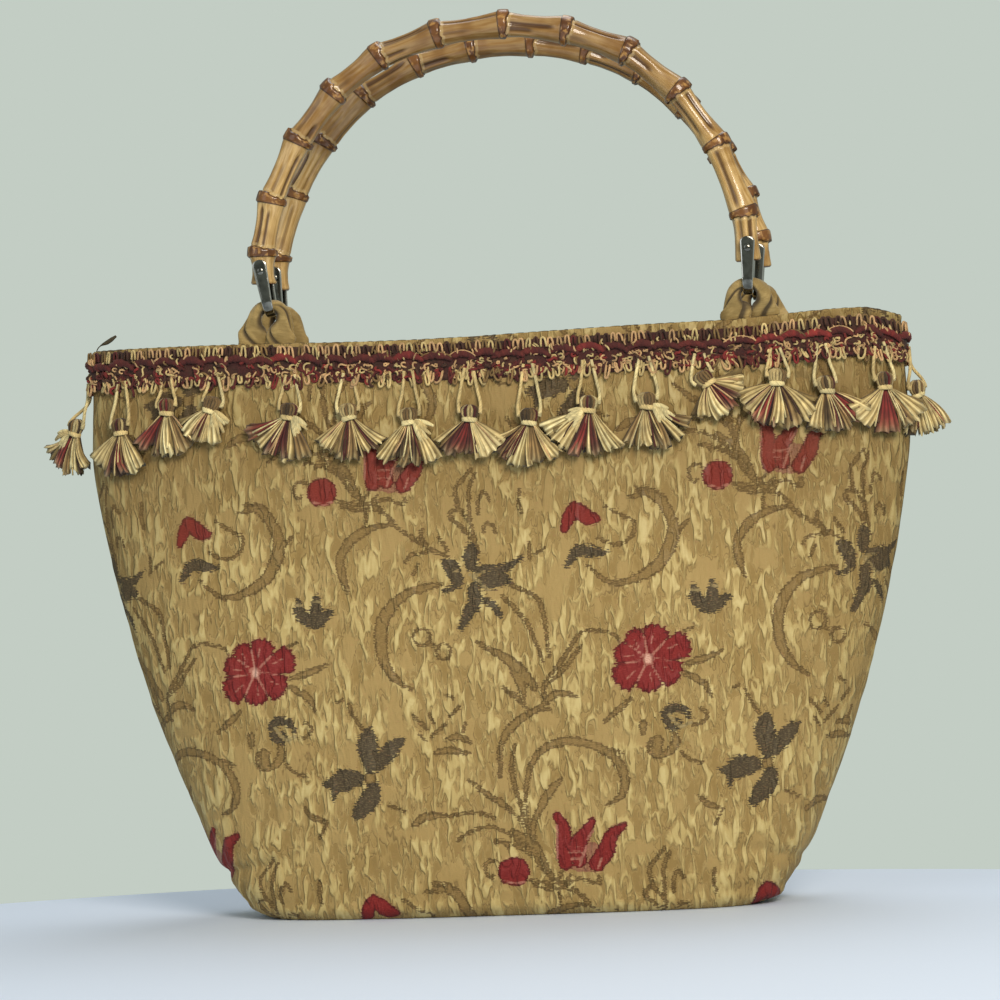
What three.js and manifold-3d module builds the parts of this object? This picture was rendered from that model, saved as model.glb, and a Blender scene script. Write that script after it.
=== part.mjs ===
// A bamboo handle bag: a brocade tote with a boxed base, a tassel fringe round the rim,
// and two arched bamboo handles, each hooked by metal clips into cloth loops at the rim.
// Millimetres. X is the width, -Y is the front face, +Z is up, and the floor is z = 0.
import * as THREE from "three";
import { mergeVertices } from "three/addons/utils/BufferGeometryUtils.js";
import Module from "manifold-3d";

const wasm = await Module();
wasm.setup();

// Cloth body.
const WALL = 2; // brocade and backing
const ROUND = 64; // points round a section
const RIM_Z = 258;

// Sections of the cloth body from the floor to the rim.
// Columns: height, half width, half depth, power of the rounded outline.
const SECTIONS = [
  { z: 0, w: 110.5, d: 34.5, p: 3.6 },
  { z: 3, w: 117, d: 38, p: 3.4 },
  { z: 9, w: 120.5, d: 40.2, p: 3.2 },
  { z: 22, w: 130, d: 43, p: 3 },
  { z: 50, w: 143, d: 46, p: 2.7 },
  { z: 90, w: 158.5, d: 47.5, p: 2.5 },
  { z: 140, w: 173, d: 46.5, p: 2.3 },
  { z: 180, w: 181.5, d: 44, p: 2.1 },
  { z: 205, w: 185, d: 42, p: 2 },
  { z: 235, w: 184, d: 39.5, p: 2 },
  { z: RIM_Z, w: 183, d: 38, p: 2 },
];

// Fringe.
const GAP = 0.3; // left between pieces that touch
const BRAID_LOW = 236;
const BRAID_HIGH = 256.5;
const BRAID_THICK = 2.4;
const TASSEL_OFF = 0.5; // from the wall to the back of a tassel
const TASSEL_SIDES = 8;

// Outer form of one tassel: its two cords, tied head, neck and fanned skirt.
// Columns: drop below the braid, half width, half depth.
const TASSEL = [
  { drop: 0, w: 4.6, d: 0.7 },
  { drop: 8, w: 4.4, d: 0.7 },
  { drop: 9.8, w: 3.7, d: 2.2 },
  { drop: 12.6, w: 3.7, d: 2.4 },
  { drop: 14.6, w: 2.5, d: 1.9 },
  { drop: 17, w: 4.4, d: 2.4 },
  { drop: 25, w: 8.8, d: 3 },
  { drop: 34, w: 10.4, d: 3.2 },
];

// Where the tassels hang along the front, as they lie on the real bag.
const FRONT_TASSEL_X = [-166, -144, -122, -87, -61, -34, -7, 19, 45, 70, 94, 127, 150, 172];
const BACK_TASSELS = 14;
const BACK_TASSEL_SPAN = 334; // from the first to the last along the back

// Handles.
const HANDLE_X = 9; // middle of both handles
const HANDLE_Y = 27; // each handle's plane, in front of and behind the middle
const HINGE_Z = 276; // axis about which a handle swings in its loops
const LEG_X = 108; // from the middle of a handle to the middle of its leg
const BACK_SPLAY = 2.5; // by which each leg of the back handle stands further out
const BACK_SINK = 1.8; // by which the top of the back handle stands lower
const END_Z = HINGE_Z + 7.5; // cut ends of the bamboo
const BAMBOO_SIDES = 12;
const NODE_R = 6.85;
const SHOULDER_R = 6;
const WAIST_R = 5.4;
const SHOULDER = 2.6; // from the middle of a joint to its shoulder
const ARCH_STEPS = 200;

// Middle line of half a handle, from the leg to the top.
// Columns: x from the middle, height, shares of the legs' splay and of the top's sinking.
const ARCH = [
  { x: LEG_X, z: END_Z, splay: 1, sink: 0 },
  { x: LEG_X, z: 295, splay: 1, sink: 0 },
  { x: 106.6, z: 306, splay: 0.8, sink: 0 },
  { x: 101, z: 325, splay: 0.3, sink: 0.1 },
  { x: 87.5, z: 350, splay: 0, sink: 0.4 },
  { x: 72, z: 368, splay: 0, sink: 0.7 },
  { x: 53.2, z: 381.4, splay: 0, sink: 0.9 },
  { x: 28.5, z: 390, splay: 0, sink: 1 },
  { x: 0, z: 393.3, splay: 0, sink: 1 },
];

// Joints of the bamboo, measured along the middle line from the left end.
const FRONT_JOINTS = [14, 38, 67, 93.5, 119.5, 147, 177, 205, 234, 262.5, 291.5, 324.5];
const BACK_JOINTS = [15, 45.5, 73, 101.5, 129.5, 156, 183.5, 209, 236, 263, 289, 311, 331];

// Metal clips.
const STRIP = 1.2;
const STRIP_LOW = 2; // half width at the bend
const STRIP_HIGH = 3.4; // half width at the ends
const CLIP_R = 6.3 + STRIP / 2; // bend radius of the strip's middle
const CLIP_UP = 18; // straight part above the hinge axis
const BEND_STEPS = 10;
const PIN_UP = 13; // cross pin above the hinge axis
const PIN_R = 1.4;
const PIN_HALF = CLIP_R + STRIP / 2 + 0.7;

// Half of a cloth loop, from its foot inside the rim to its top inside the clip.
// Columns: x from the middle of the leg, height, half thickness in the loop's plane, half depth,
// and how far the strap has moved from the wall (0) to the handle's plane (1).
const LOOP = [
  { x: 8.4, z: 246, t: 4.6, d: 1.8, m: 0 },
  { x: 8.4, z: 258, t: 4.4, d: 2, m: 0.15 },
  { x: 8, z: 263, t: 4, d: 2.6, m: 0.6 },
  { x: 7.3, z: 267, t: 3.4, d: 3.2, m: 1 },
  { x: 5.9, z: 271, t: 2.9, d: 4, m: 1 },
  { x: 3.2, z: 273.2, t: 2.8, d: 4.4, m: 1 },
  { x: 0, z: 273.4, t: 2.8, d: 4.4, m: 1 },
];
const LOOP_SIDES = 10;

// Reads a column of the sections at a height.
function sectionAt(z) {
  const k = Math.max(1, SECTIONS.findIndex((row) => row.z >= z));
  const low = SECTIONS[k - 1];
  const high = SECTIONS[k];
  const mix = (z - low.z) / (high.z - low.z);
  const read = (name) => low[name] + (high[name] - low[name]) * mix;
  return { w: read("w"), d: read("d"), p: read("p") };
}

// One point of a rounded outline: x and y are signed powers of the cosine and sine of an angle.
function outline(section, angle, inset = 0) {
  const c = Math.cos(angle);
  const s = Math.sin(angle);
  const power = 2 / section.p;
  return [
    (section.w - inset) * Math.sign(c) * Math.abs(c) ** power,
    (section.d - inset) * Math.sign(s) * Math.abs(s) ** power,
  ];
}

// A closed surface through rings of points, with a flat cap on the first and the last ring.
function loft(rings) {
  const n = rings[0].length;
  const last = (rings.length - 1) * n;
  const middle = (ring) => [0, 1, 2].map((k) => ring.reduce((sum, p) => sum + p[k], 0) / n);
  const points = [...rings.flat(), middle(rings[0]), middle(rings[rings.length - 1])];
  const faces = [];
  for (let j = 0; j < n; j++) {
    const next = (j + 1) % n;
    faces.push(rings.length * n, next, j);
    faces.push(rings.length * n + 1, last + j, last + next);
    for (let k = 0; k < last; k += n) {
      faces.push(k + j, k + next, k + n + next);
      faces.push(k + j, k + n + next, k + n + j);
    }
  }
  const shape = new THREE.BufferGeometry();
  shape.setAttribute("position", new THREE.Float32BufferAttribute(points.flat(), 3));
  shape.setIndex(faces);
  return shape;
}

// A boolean solid from a geometry, and a geometry from a boolean solid.
function solid(geometry) {
  const bare = geometry.clone();
  bare.deleteAttribute("normal");
  bare.deleteAttribute("uv");
  const merged = mergeVertices(bare, 1e-4);
  const vertProperties = new Float32Array(merged.attributes.position.array);
  const triVerts = new Uint32Array(merged.index.array);
  return new wasm.Manifold(new wasm.Mesh({ numProp: 3, vertProperties, triVerts }));
}

function geometry(made) {
  const mesh = made.getMesh();
  const shape = new THREE.BufferGeometry();
  shape.setAttribute("position", new THREE.Float32BufferAttribute(mesh.vertProperties, 3));
  shape.setIndex(new THREE.BufferAttribute(mesh.triVerts, 1));
  return shape;
}

const bag = new THREE.Group();

function add(name, shape, color, roughness, metalness = 0) {
  shape.computeVertexNormals();
  const mesh = new THREE.Mesh(shape, new THREE.MeshStandardMaterial({ color, roughness, metalness }));
  mesh.name = name;
  bag.add(mesh);
}

// The cloth body runs up the outside, over the rim and down the inside to its floor.
function bodyRing(section, z, inset) {
  return Array.from({ length: ROUND }, (_, k) => {
    const [x, y] = outline(section, (2 * Math.PI * k) / ROUND, inset);
    return [x, y, z];
  });
}
const outside = SECTIONS.map((row) => bodyRing(row, row.z, 0));
const inside = SECTIONS.filter((row) => row.z > WALL)
  .reverse()
  .map((row) => bodyRing(row, row.z, WALL));
const floor = bodyRing(sectionAt(WALL), WALL, WALL);
add("bag_body", loft([...outside, ...inside, floor]), "#b39a66", 0.85);

// The braid is a flat ring sewn round the outside of the rim.
const braidAngles = Array.from({ length: ROUND }, (_, k) => (2 * Math.PI * k) / ROUND);
const braidCorners = [
  { z: BRAID_LOW, off: GAP },
  { z: BRAID_LOW, off: GAP + BRAID_THICK },
  { z: BRAID_HIGH, off: GAP + BRAID_THICK },
  { z: BRAID_HIGH, off: GAP },
];
const braidPoints = braidAngles.flatMap((angle) =>
  braidCorners.map(({ z, off }) => {
    const [x, y] = outline(sectionAt(z), angle, -off);
    return [x, y, z];
  }),
);
const braidFaces = [];
for (let k = 0; k < ROUND; k++) {
  const here = 4 * k;
  const next = 4 * ((k + 1) % ROUND);
  for (let j = 0; j < 4; j++) {
    const up = (j + 1) % 4;
    braidFaces.push(here + j, next + j, next + up);
    braidFaces.push(here + j, next + up, here + up);
  }
}
const braid = new THREE.BufferGeometry();
braid.setAttribute("position", new THREE.Float32BufferAttribute(braidPoints.flat(), 3));
braid.setIndex(braidFaces);
add("fringe_braid", braid, "#7a3a2c", 0.95);

// A tassel hangs against the wall below the braid, facing along the wall's normal.
function tassel(name, angle) {
  const rings = [...TASSEL].reverse().map(({ drop, w, d }) => {
    const z = BRAID_LOW - GAP - drop;
    const section = sectionAt(z);
    const [x, y] = outline(section, angle);
    const normal = new THREE.Vector2(x / section.w ** 2, y / section.d ** 2).normalize();
    const reach = TASSEL_OFF + d;
    return Array.from({ length: TASSEL_SIDES }, (_, k) => {
      const turn = (2 * Math.PI * (k + 0.5)) / TASSEL_SIDES;
      const along = w * Math.cos(turn);
      const out = reach + d * Math.sin(turn);
      return [x + along * normal.y + out * normal.x, y - along * normal.x + out * normal.y, z];
    });
  });
  add(name, loft(rings), "#a9935f", 0.95);
}
const hang = sectionAt(BRAID_LOW);
FRONT_TASSEL_X.forEach((x, k) =>
  tassel(`tassel_front_${String(k + 1).padStart(2, "0")}`, -Math.acos(x / hang.w)),
);
for (let k = 0; k < BACK_TASSELS; k++) {
  const x = BACK_TASSEL_SPAN * (k / (BACK_TASSELS - 1) - 0.5);
  tassel(`tassel_back_${String(k + 1).padStart(2, "0")}`, Math.acos(x / hang.w));
}
tassel("tassel_left", Math.PI);
tassel("tassel_right", 0);

// A bamboo arch: round sections carried along the middle line, swollen at every joint.
function bamboo(name, y, joints, splay, sink) {
  const half = ARCH.map(
    (row) => new THREE.Vector3(row.x + splay * row.splay, 0, row.z - sink * row.sink),
  );
  const mirrored = half.map((p) => new THREE.Vector3(-p.x, 0, p.z));
  const middle = [...mirrored, ...half.slice(0, -1).reverse()];
  const path = new THREE.CatmullRomCurve3(middle, false, "centripetal");
  path.arcLengthDivisions = ARCH_STEPS;
  const length = path.getLength();
  const stops = [{ s: 0, r: SHOULDER_R }];
  joints.forEach((s, k) => {
    const before = k ? joints[k - 1] : 0;
    stops.push({ s: (s + before) / 2, r: k ? WAIST_R : SHOULDER_R - 0.1 });
    stops.push({ s: s - SHOULDER, r: SHOULDER_R });
    stops.push({ s, r: NODE_R });
    stops.push({ s: s + SHOULDER, r: SHOULDER_R });
  });
  stops.push({ s: (joints[joints.length - 1] + length) / 2, r: SHOULDER_R - 0.1 });
  stops.push({ s: length, r: SHOULDER_R });
  const rings = stops.map(({ s, r }) => {
    const point = path.getPointAt(s / length);
    const along = path.getTangentAt(s / length);
    return Array.from({ length: BAMBOO_SIDES }, (_, k) => {
      const turn = (2 * Math.PI * k) / BAMBOO_SIDES;
      const side = r * Math.cos(turn);
      return [
        HANDLE_X + point.x + side * along.z,
        y + r * Math.sin(turn),
        point.z - side * along.x,
      ];
    });
  });
  let made = solid(loft(rings));
  for (const side of [-1, 1]) {
    const drill = new THREE.CylinderGeometry(PIN_R + GAP, PIN_R + GAP, 4 * NODE_R, 16);
    drill.translate(HANDLE_X + side * (LEG_X + splay), y, HINGE_Z + PIN_UP);
    made = made.subtract(solid(drill));
  }
  add(name, geometry(made), "#b4955c", 0.4);
}
bamboo("bamboo_front", -HANDLE_Y, FRONT_JOINTS, 0, 0);
bamboo("bamboo_back", HANDLE_Y, BACK_JOINTS, BACK_SPLAY, BACK_SINK);

// A clip: a flat strip bent round the loop, with a pin across its two ends.
function clip(name, x, y) {
  const path = [{ y: CLIP_R, z: CLIP_UP, ty: 0, tz: -1, w: STRIP_HIGH }];
  for (let k = 0; k <= BEND_STEPS; k++) {
    const turn = (Math.PI * k) / BEND_STEPS;
    const w = STRIP_LOW + 0.4 * Math.abs(Math.cos(turn));
    const ty = -Math.sin(turn);
    const tz = -Math.cos(turn);
    path.push({ y: -CLIP_R * tz, z: CLIP_R * ty, ty, tz, w });
  }
  path.push({ y: -CLIP_R, z: CLIP_UP, ty: 0, tz: 1, w: STRIP_HIGH });
  const corners = [
    { a: 1, b: 1 },
    { a: -1, b: 1 },
    { a: -1, b: -1 },
    { a: 1, b: -1 },
  ];
  const rings = path.map((p) =>
    corners.map(({ a, b }) => [
      x + a * p.w,
      y + p.y + (b * STRIP * p.tz) / 2,
      HINGE_Z + p.z - (b * STRIP * p.ty) / 2,
    ]),
  );
  const pin = new THREE.CylinderGeometry(PIN_R, PIN_R, 2 * PIN_HALF, 16);
  pin.translate(x, y, HINGE_Z + PIN_UP);
  add(name, geometry(solid(loft(rings)).add(solid(pin))), "#c9c9c4", 0.25, 1);
}

// A cloth loop: a strap that rises from inside the rim, passes through a clip and goes down again.
function loop(name, x, y) {
  const front = Math.sign(y);
  const rows = [
    ...LOOP.map((row) => ({ ...row, x: -row.x })),
    ...LOOP.slice(0, -1).reverse(),
  ];
  const places = rows.map((row) => {
    const section = sectionAt(Math.min(row.z, RIM_Z));
    const reach = Math.min(1, (Math.abs(x + row.x) + row.t) / section.w);
    const wall = front * (section.d * Math.sqrt(1 - reach ** 2) - WALL - GAP - row.d);
    return new THREE.Vector3(x + row.x, wall + (y - wall) * row.m, row.z);
  });
  const rings = rows.map((row, k) => {
    const before = places[Math.max(0, k - 1)];
    const after = places[Math.min(rows.length - 1, k + 1)];
    const along = new THREE.Vector2(after.x - before.x, after.z - before.z).normalize();
    return Array.from({ length: LOOP_SIDES }, (_, j) => {
      const turn = (2 * Math.PI * j) / LOOP_SIDES;
      const across = row.t * Math.cos(turn);
      return [
        places[k].x + across * along.y,
        places[k].y + row.d * Math.sin(turn),
        places[k].z - across * along.x,
      ];
    });
  });
  add(name, loft(rings), "#b7a06c", 0.85);
}

for (const [face, y, splay] of [["front", -HANDLE_Y, 0], ["back", HANDLE_Y, BACK_SPLAY]]) {
  const leg = LEG_X + splay;
  for (const [side, x] of [["left", HANDLE_X - leg], ["right", HANDLE_X + leg]]) {
    clip(`clip_${face}_${side}`, x, y);
    loop(`loop_${face}_${side}`, x, y);
  }
}

export default bag;
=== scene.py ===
# %% [markdown]
# # A brocade bag with bamboo handles
#
# The bag is a soft tote of woven cloth with a boxed base. A braid with tassels is sewn round its rim,
# and two arches of bamboo hang in cloth loops on metal clips. The hard frame comes from CAD. This
# lesson puts a finished surface on every piece of it, worked out with numpy as whole arrays.

# %% The frame
from itertools import groupby

import bpy
import numpy as np
from mathutils import Matrix, Vector


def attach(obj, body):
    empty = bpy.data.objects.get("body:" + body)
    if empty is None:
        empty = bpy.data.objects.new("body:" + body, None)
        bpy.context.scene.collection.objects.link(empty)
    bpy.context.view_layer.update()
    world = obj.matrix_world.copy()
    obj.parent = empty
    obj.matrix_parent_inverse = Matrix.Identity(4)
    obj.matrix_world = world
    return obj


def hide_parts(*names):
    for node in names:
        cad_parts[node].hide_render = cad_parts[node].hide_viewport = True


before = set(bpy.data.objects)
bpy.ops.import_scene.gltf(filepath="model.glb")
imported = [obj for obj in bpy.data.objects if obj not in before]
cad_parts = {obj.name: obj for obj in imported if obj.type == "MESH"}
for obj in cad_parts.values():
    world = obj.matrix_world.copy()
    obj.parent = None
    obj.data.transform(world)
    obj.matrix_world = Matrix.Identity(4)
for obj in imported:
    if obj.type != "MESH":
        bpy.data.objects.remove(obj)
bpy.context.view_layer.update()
MM = 0.001  # sizes below are in millimetres, Blender's are in metres

# %% [markdown]
# ## Camera
#
# The bag was seen almost level from the front, from a little to its right, through a long lens.
# The picture is slightly askew, so the camera rolls. The lens follows from the width of the picture.

# %% Camera
VIEW_HEIGHT = 183  # of the camera and of the point that it looks at
VIEW_DISTANCE = 1700
VIEW_WIDTH = 450  # across the picture, at the bag
VIEW_TURN = np.radians(6)
VIEW_ROLL = np.radians(-2.4)
SENSOR = 36

lens = bpy.data.cameras.new("camera")
lens.sensor_width = SENSOR
lens.lens = SENSOR * VIEW_DISTANCE / VIEW_WIDTH
camera = bpy.data.objects.new("camera", lens)
bpy.context.collection.objects.link(camera)
toward = Vector((-np.sin(VIEW_TURN), np.cos(VIEW_TURN), 0))
level = toward.to_track_quat("-Z", "Y").to_matrix()
camera.rotation_euler = (level @ Matrix.Rotation(VIEW_ROLL, 3, "Z")).to_euler()
camera.location = (Vector((0, 0, VIEW_HEIGHT)) - VIEW_DISTANCE * toward) * MM
bpy.context.scene.camera = camera
print("lens", round(lens.lens, 1), "mm")

# %% [markdown]
# ## Colours and nodes
#
# A screen colour is written as sRGB hex, but light adds up in linear values, so one function converts.
# A second one adds a shader node, sets its properties, and fills or links its sockets.


# %% Colours and nodes
def linear(hex_colour):
    """Linear RGBA of an sRGB hex: c/12.92 for dark values, else ((c + 0.055) / 1.055) to the power 2.4."""
    c = np.array([int(hex_colour[k:k + 2], 16) for k in (1, 3, 5)]) / 255
    c = np.where(c <= 0.04045, c / 12.92, ((c + 0.055) / 1.055) ** 2.4)
    return (*c, 1.0)


def node(material, kind, sockets=None, **settings):
    """Adds a node. Settings become its properties; each socket gets a value or a link."""
    made = material.node_tree.nodes.new(kind)
    for name, value in settings.items():
        setattr(made, name, value)
    for socket, value in (sockets or {}).items():
        if isinstance(value, bpy.types.NodeSocket):
            material.node_tree.links.new(value, made.inputs[socket])
        else:
            made.inputs[socket].default_value = value
    return made


def bare_material(name):
    """A material with no nodes in it yet."""
    material = bpy.data.materials.new(name)
    material.use_nodes = True
    material.node_tree.nodes.clear()
    return material


A, B, MIXED = 6, 7, 2  # a Mix node's two colour inputs and its colour output


def painted(material, colour, layers):
    """Lays colours over one another. A layer is a value, where its cover starts and is full, the most that it
    covers, and its colour."""
    for value, start, full, cover, over in layers:
        share = {0: value, 1: start, 2: full, 4: cover}
        share = node(material, "ShaderNodeMapRange", share, interpolation_type="SMOOTHSTEP").outputs[0]
        mix = node(material, "ShaderNodeMix", {0: share, A: colour, B: over}, data_type="RGBA")
        colour = mix.outputs[MIXED]
    return colour


print("colour helpers ready")

# %% [markdown]
# ## Light and floor
#
# Window light comes from the right and the front, and the left side falls off a little. Large area
# lights give it soft edges, and a pale world fills the shadows. The world looks brighter to the camera than
# it shines, as a wall does behind an object that stands in front of it. The floor is a plain pale disc.

# %% Light and floor
BAG_MIDDLE = Vector((0, 0, 0.18))
FLOOR_RADIUS = 620
FLOOR_FORWARD = 480  # the bag stands near the back of the floor, as it does before the wall
FLOOR_DROP = 0.3  # keeps the floor clear of the base


def soft_light(name, place, width, watts, tint):
    """A square area light that faces the middle of the bag."""
    light = bpy.data.lights.new(name, "AREA")
    light.size = width
    light.energy = watts
    light.color = linear(tint)[:3]
    holder = bpy.data.objects.new(name, light)
    holder.location = place
    holder.rotation_euler = (BAG_MIDDLE - Vector(place)).to_track_quat("-Z", "Y").to_euler()
    bpy.context.collection.objects.link(holder)


soft_light("window", (0.65, -1.6, 1.05), 0.7, 30, "#FFF3E4")
soft_light("room", (-1.3, -1.2, 0.8), 1.2, 5, "#F2F6FF")
soft_light("top", (0.2, 0.5, 1.6), 1.0, 9, "#FFFFFF")

world = bpy.data.worlds.new("pale room")
world.use_nodes = True
world.node_tree.nodes.clear()
seen = node(world, "ShaderNodeLightPath").outputs["Is Camera Ray"]
glow = node(world, "ShaderNodeBackground", {"Color": linear("#C9D2CB"), "Strength": 0.45}).outputs[0]
wall = node(world, "ShaderNodeBackground", {"Color": linear("#C3CDC4"), "Strength": 1.0}).outputs[0]
both = node(world, "ShaderNodeMixShader", {0: seen, 1: glow, 2: wall}).outputs[0]
node(world, "ShaderNodeOutputWorld", {"Surface": both})
bpy.context.scene.world = world
bpy.context.scene.view_settings.view_transform = "Standard"

turn = np.linspace(0, 2 * np.pi, 96, endpoint=False)
rim_of_floor = np.stack([np.cos(turn), np.sin(turn), 0 * turn], 1) * FLOOR_RADIUS * MM
rim_of_floor -= np.array([0, FLOOR_FORWARD, FLOOR_DROP]) * MM
floor_mesh = bpy.data.meshes.new("floor")
floor_mesh.from_pydata(rim_of_floor, [], [range(len(turn))])
floor = bpy.data.objects.new("floor", floor_mesh)
bpy.context.collection.objects.link(floor)
paper = bare_material("pale paper floor")
paper_shader = node(paper, "ShaderNodeBsdfPrincipled", {"Base Color": linear("#D6E3F6"), "Roughness": 0.7})
node(paper, "ShaderNodeOutputMaterial", {"Surface": paper_shader.outputs[0]})
floor_mesh.materials.append(paper)
print("floor radius", FLOOR_RADIUS, "mm")

# %% [markdown]
# ## Surfaces from arrays
#
# Every piece is one or more grids of points. The helpers below number the faces of a grid, join several
# parts into one mesh, turn a part whose faces point inwards, and give the piece its place in the frame.


# %% Surfaces from arrays
def grid_faces(rows, columns, close_rows=False, close_columns=False):
    """Four-cornered faces between neighbouring points of a grid, numbered row by row."""
    index = np.arange(rows * columns).reshape(rows, columns)
    if close_rows:
        index = np.vstack([index, index[:1]])
    if close_columns:
        index = np.hstack([index, index[:, :1]])
    corners = [index[:-1, :-1], index[:-1, 1:], index[1:, 1:], index[1:, :-1]]
    return np.stack(corners, -1).reshape(-1, 4)


def turned_out(points, faces):
    """The same faces, in the order that makes the enclosed volume positive.

    The volume is a sum over triangles: a sixth of p0 dotted with p1 crossed with p2."""
    middle = points.mean(0)
    volume = 0.0
    for block in faces:
        fan = points[block] - middle
        for k in range(1, block.shape[1] - 1):
            volume += np.einsum("ij,ij->", fan[:, 0], np.cross(fan[:, k], fan[:, k + 1]))
    return faces if volume > 0 else [block[:, ::-1] for block in faces]


def joined(parts):
    """Parts are (points, blocks of faces, values by name). Later parts are numbered after earlier ones."""
    blocks, start = [], 0
    for points, faces, _ in parts:
        blocks += [block + start for block in faces]
        start += len(points)
    names = parts[0][2]
    values = {name: np.concatenate([part[2][name] for part in parts]) for name in names}
    return np.concatenate([part[0] for part in parts]), blocks, values


VALUE_KINDS = {1: ("FLOAT", "value"), 2: ("FLOAT_VECTOR", "vector"), 3: ("FLOAT_COLOR", "color")}


def add_values(mesh, name, array, kind):
    """Stores one number, vector or colour on every point of a mesh."""
    data_type, field = VALUE_KINDS[kind]
    store = mesh.attributes.new(name, data_type, "POINT")
    store.data.foreach_set(field, np.ascontiguousarray(array, "f").ravel())


def make_piece(name, points, faces, values, materials, body, stands_for=(), second=None):
    """Puts points in millimetres and blocks of faces into a mesh object that rides on a body."""
    mesh = bpy.data.meshes.new(name)
    corners = np.concatenate([block.ravel() for block in faces]).astype("i")
    sizes = np.concatenate([np.full(len(block), block.shape[1]) for block in faces])
    mesh.vertices.add(len(points))
    mesh.vertices.foreach_set("co", (points * MM).astype("f").ravel())
    mesh.loops.add(len(corners))
    mesh.loops.foreach_set("vertex_index", corners)
    mesh.polygons.add(len(sizes))
    mesh.polygons.foreach_set("loop_start", (np.cumsum(sizes) - sizes).astype("i"))
    mesh.polygons.foreach_set("use_smooth", np.ones(len(sizes), bool))
    for material in materials:
        mesh.materials.append(material)
    if second is not None:
        mesh.polygons.foreach_set("material_index", second.astype("i"))
    mesh.update(calc_edges=True)
    for label, array in values.items():
        width = 1 if array.ndim == 1 else {3: 2, 4: 3}[array.shape[1]]
        add_values(mesh, label, array, width)
    piece = bpy.data.objects.new(name, mesh)
    bpy.context.collection.objects.link(piece)
    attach(piece, body)
    if stands_for:
        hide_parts(*stands_for)
    return int((sizes - 2).sum())


def unit(vectors):
    """Vectors divided by their length."""
    return vectors / np.maximum(np.linalg.norm(vectors, axis=-1, keepdims=True), 1e-9)


def smooth(x, low, high):
    """0 below low, 1 above high, and 3t^2 - 2t^3 between them."""
    t = np.clip((x - low) / (high - low), 0, 1)
    return t * t * (3 - 2 * t)


def eased(x, stations, rows):
    """A cubic through a table: each row's slope is that between its two neighbours."""
    stations = np.asarray(stations, float)
    rows = np.asarray(rows, float)
    slopes = np.gradient(rows, stations, axis=0)
    k = np.clip(np.searchsorted(stations, x, side="right") - 1, 0, len(stations) - 2)
    gap = stations[k + 1] - stations[k]
    t = (x - stations[k]) / gap
    extra = (1,) * (rows.ndim - 1)
    t, gap = t.reshape(t.shape + extra), gap.reshape(gap.shape + extra)
    start, end = rows[k], rows[k + 1]
    bend = t * (1 - t) ** 2 * gap * slopes[k] - t * t * (1 - t) * gap * slopes[k + 1]
    return start + (end - start) * t * t * (3 - 2 * t) + bend


def soft_noise(u, v, cell, seed):
    """Random heights from -1 to 1 on a lattice of cells, blended between its corners by smooth steps."""
    heights = np.random.default_rng(seed).uniform(-1, 1, (256, 256))
    a, b = u / cell[0] + 1000.0, v / cell[1] + 1000.0
    i, j = np.floor(a).astype(int), np.floor(b).astype(int)
    s, t = smooth(a - i, 0, 1), smooth(b - j, 0, 1)
    i, j, m, n = i % 256, j % 256, (i + 1) % 256, (j + 1) % 256
    low = heights[i, j] * (1 - s) + heights[m, j] * s
    high = heights[i, n] * (1 - s) + heights[m, n] * s
    return low * (1 - t) + high * t


print("mesh helpers ready")

# %% [markdown]
# ## The form of the cloth body
#
# The bag is narrow and boxed at the base and opens to a long thin oval at the rim. Each section is a
# rounded outline between a box and an ellipse. A cubic through the sections gives the sides their curve.
# The rim isn't quite level: it sags left of the middle, lifts towards the right and rounds off at the end.

# %% The form of the cloth body
RIM = 258
SECTIONS = np.array([  # height, half width, half depth, power of the outline
    (0, 110.5, 34.5, 3.6),
    (3, 117, 38, 3.4),
    (9, 120.5, 40.2, 3.2),
    (22, 130, 43, 3),
    (50, 143, 46, 2.7),
    (90, 158.5, 47.5, 2.5),
    (140, 173, 46.5, 2.3),
    (180, 181.5, 44, 2.1),
    (205, 185, 42, 2),
    (235, 184, 39.5, 2),
    (RIM, 183, 38, 2),
])


def section_at(z):
    """Half width, half depth and power at a height."""
    return np.moveaxis(eased(np.clip(z, 0, RIM), SECTIONS[:, 0], SECTIONS[:, 1:]), -1, 0)


def outline(z, angle, inset=0.0):
    """A point of the rounded outline: signed powers 2/p of cosine and sine, times the half sizes."""
    w, d, p = section_at(z)
    c, s = np.cos(angle), np.sin(angle)
    x = (w - inset) * np.sign(c) * np.abs(c) ** (2 / p)
    y = (d - inset) * np.sign(s) * np.abs(s) ** (2 / p)
    return x, y


def rim_lift(x, z):
    """How far the sagging rim moves a point up: a dip left of the middle, then a rise and a rounded end."""
    dip = -2.7 * np.exp(-(((x + 30) / 80) ** 2))
    rise = 3.4 * smooth(x, 100, 165) - 4.0 * smooth(x, 166, 187)
    return (dip + rise) * (np.clip(z, 0, None) / RIM) ** 4


print("rim", 2 * SECTIONS[-1, 1], "x", 2 * SECTIONS[-1, 2], "mm")
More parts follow.
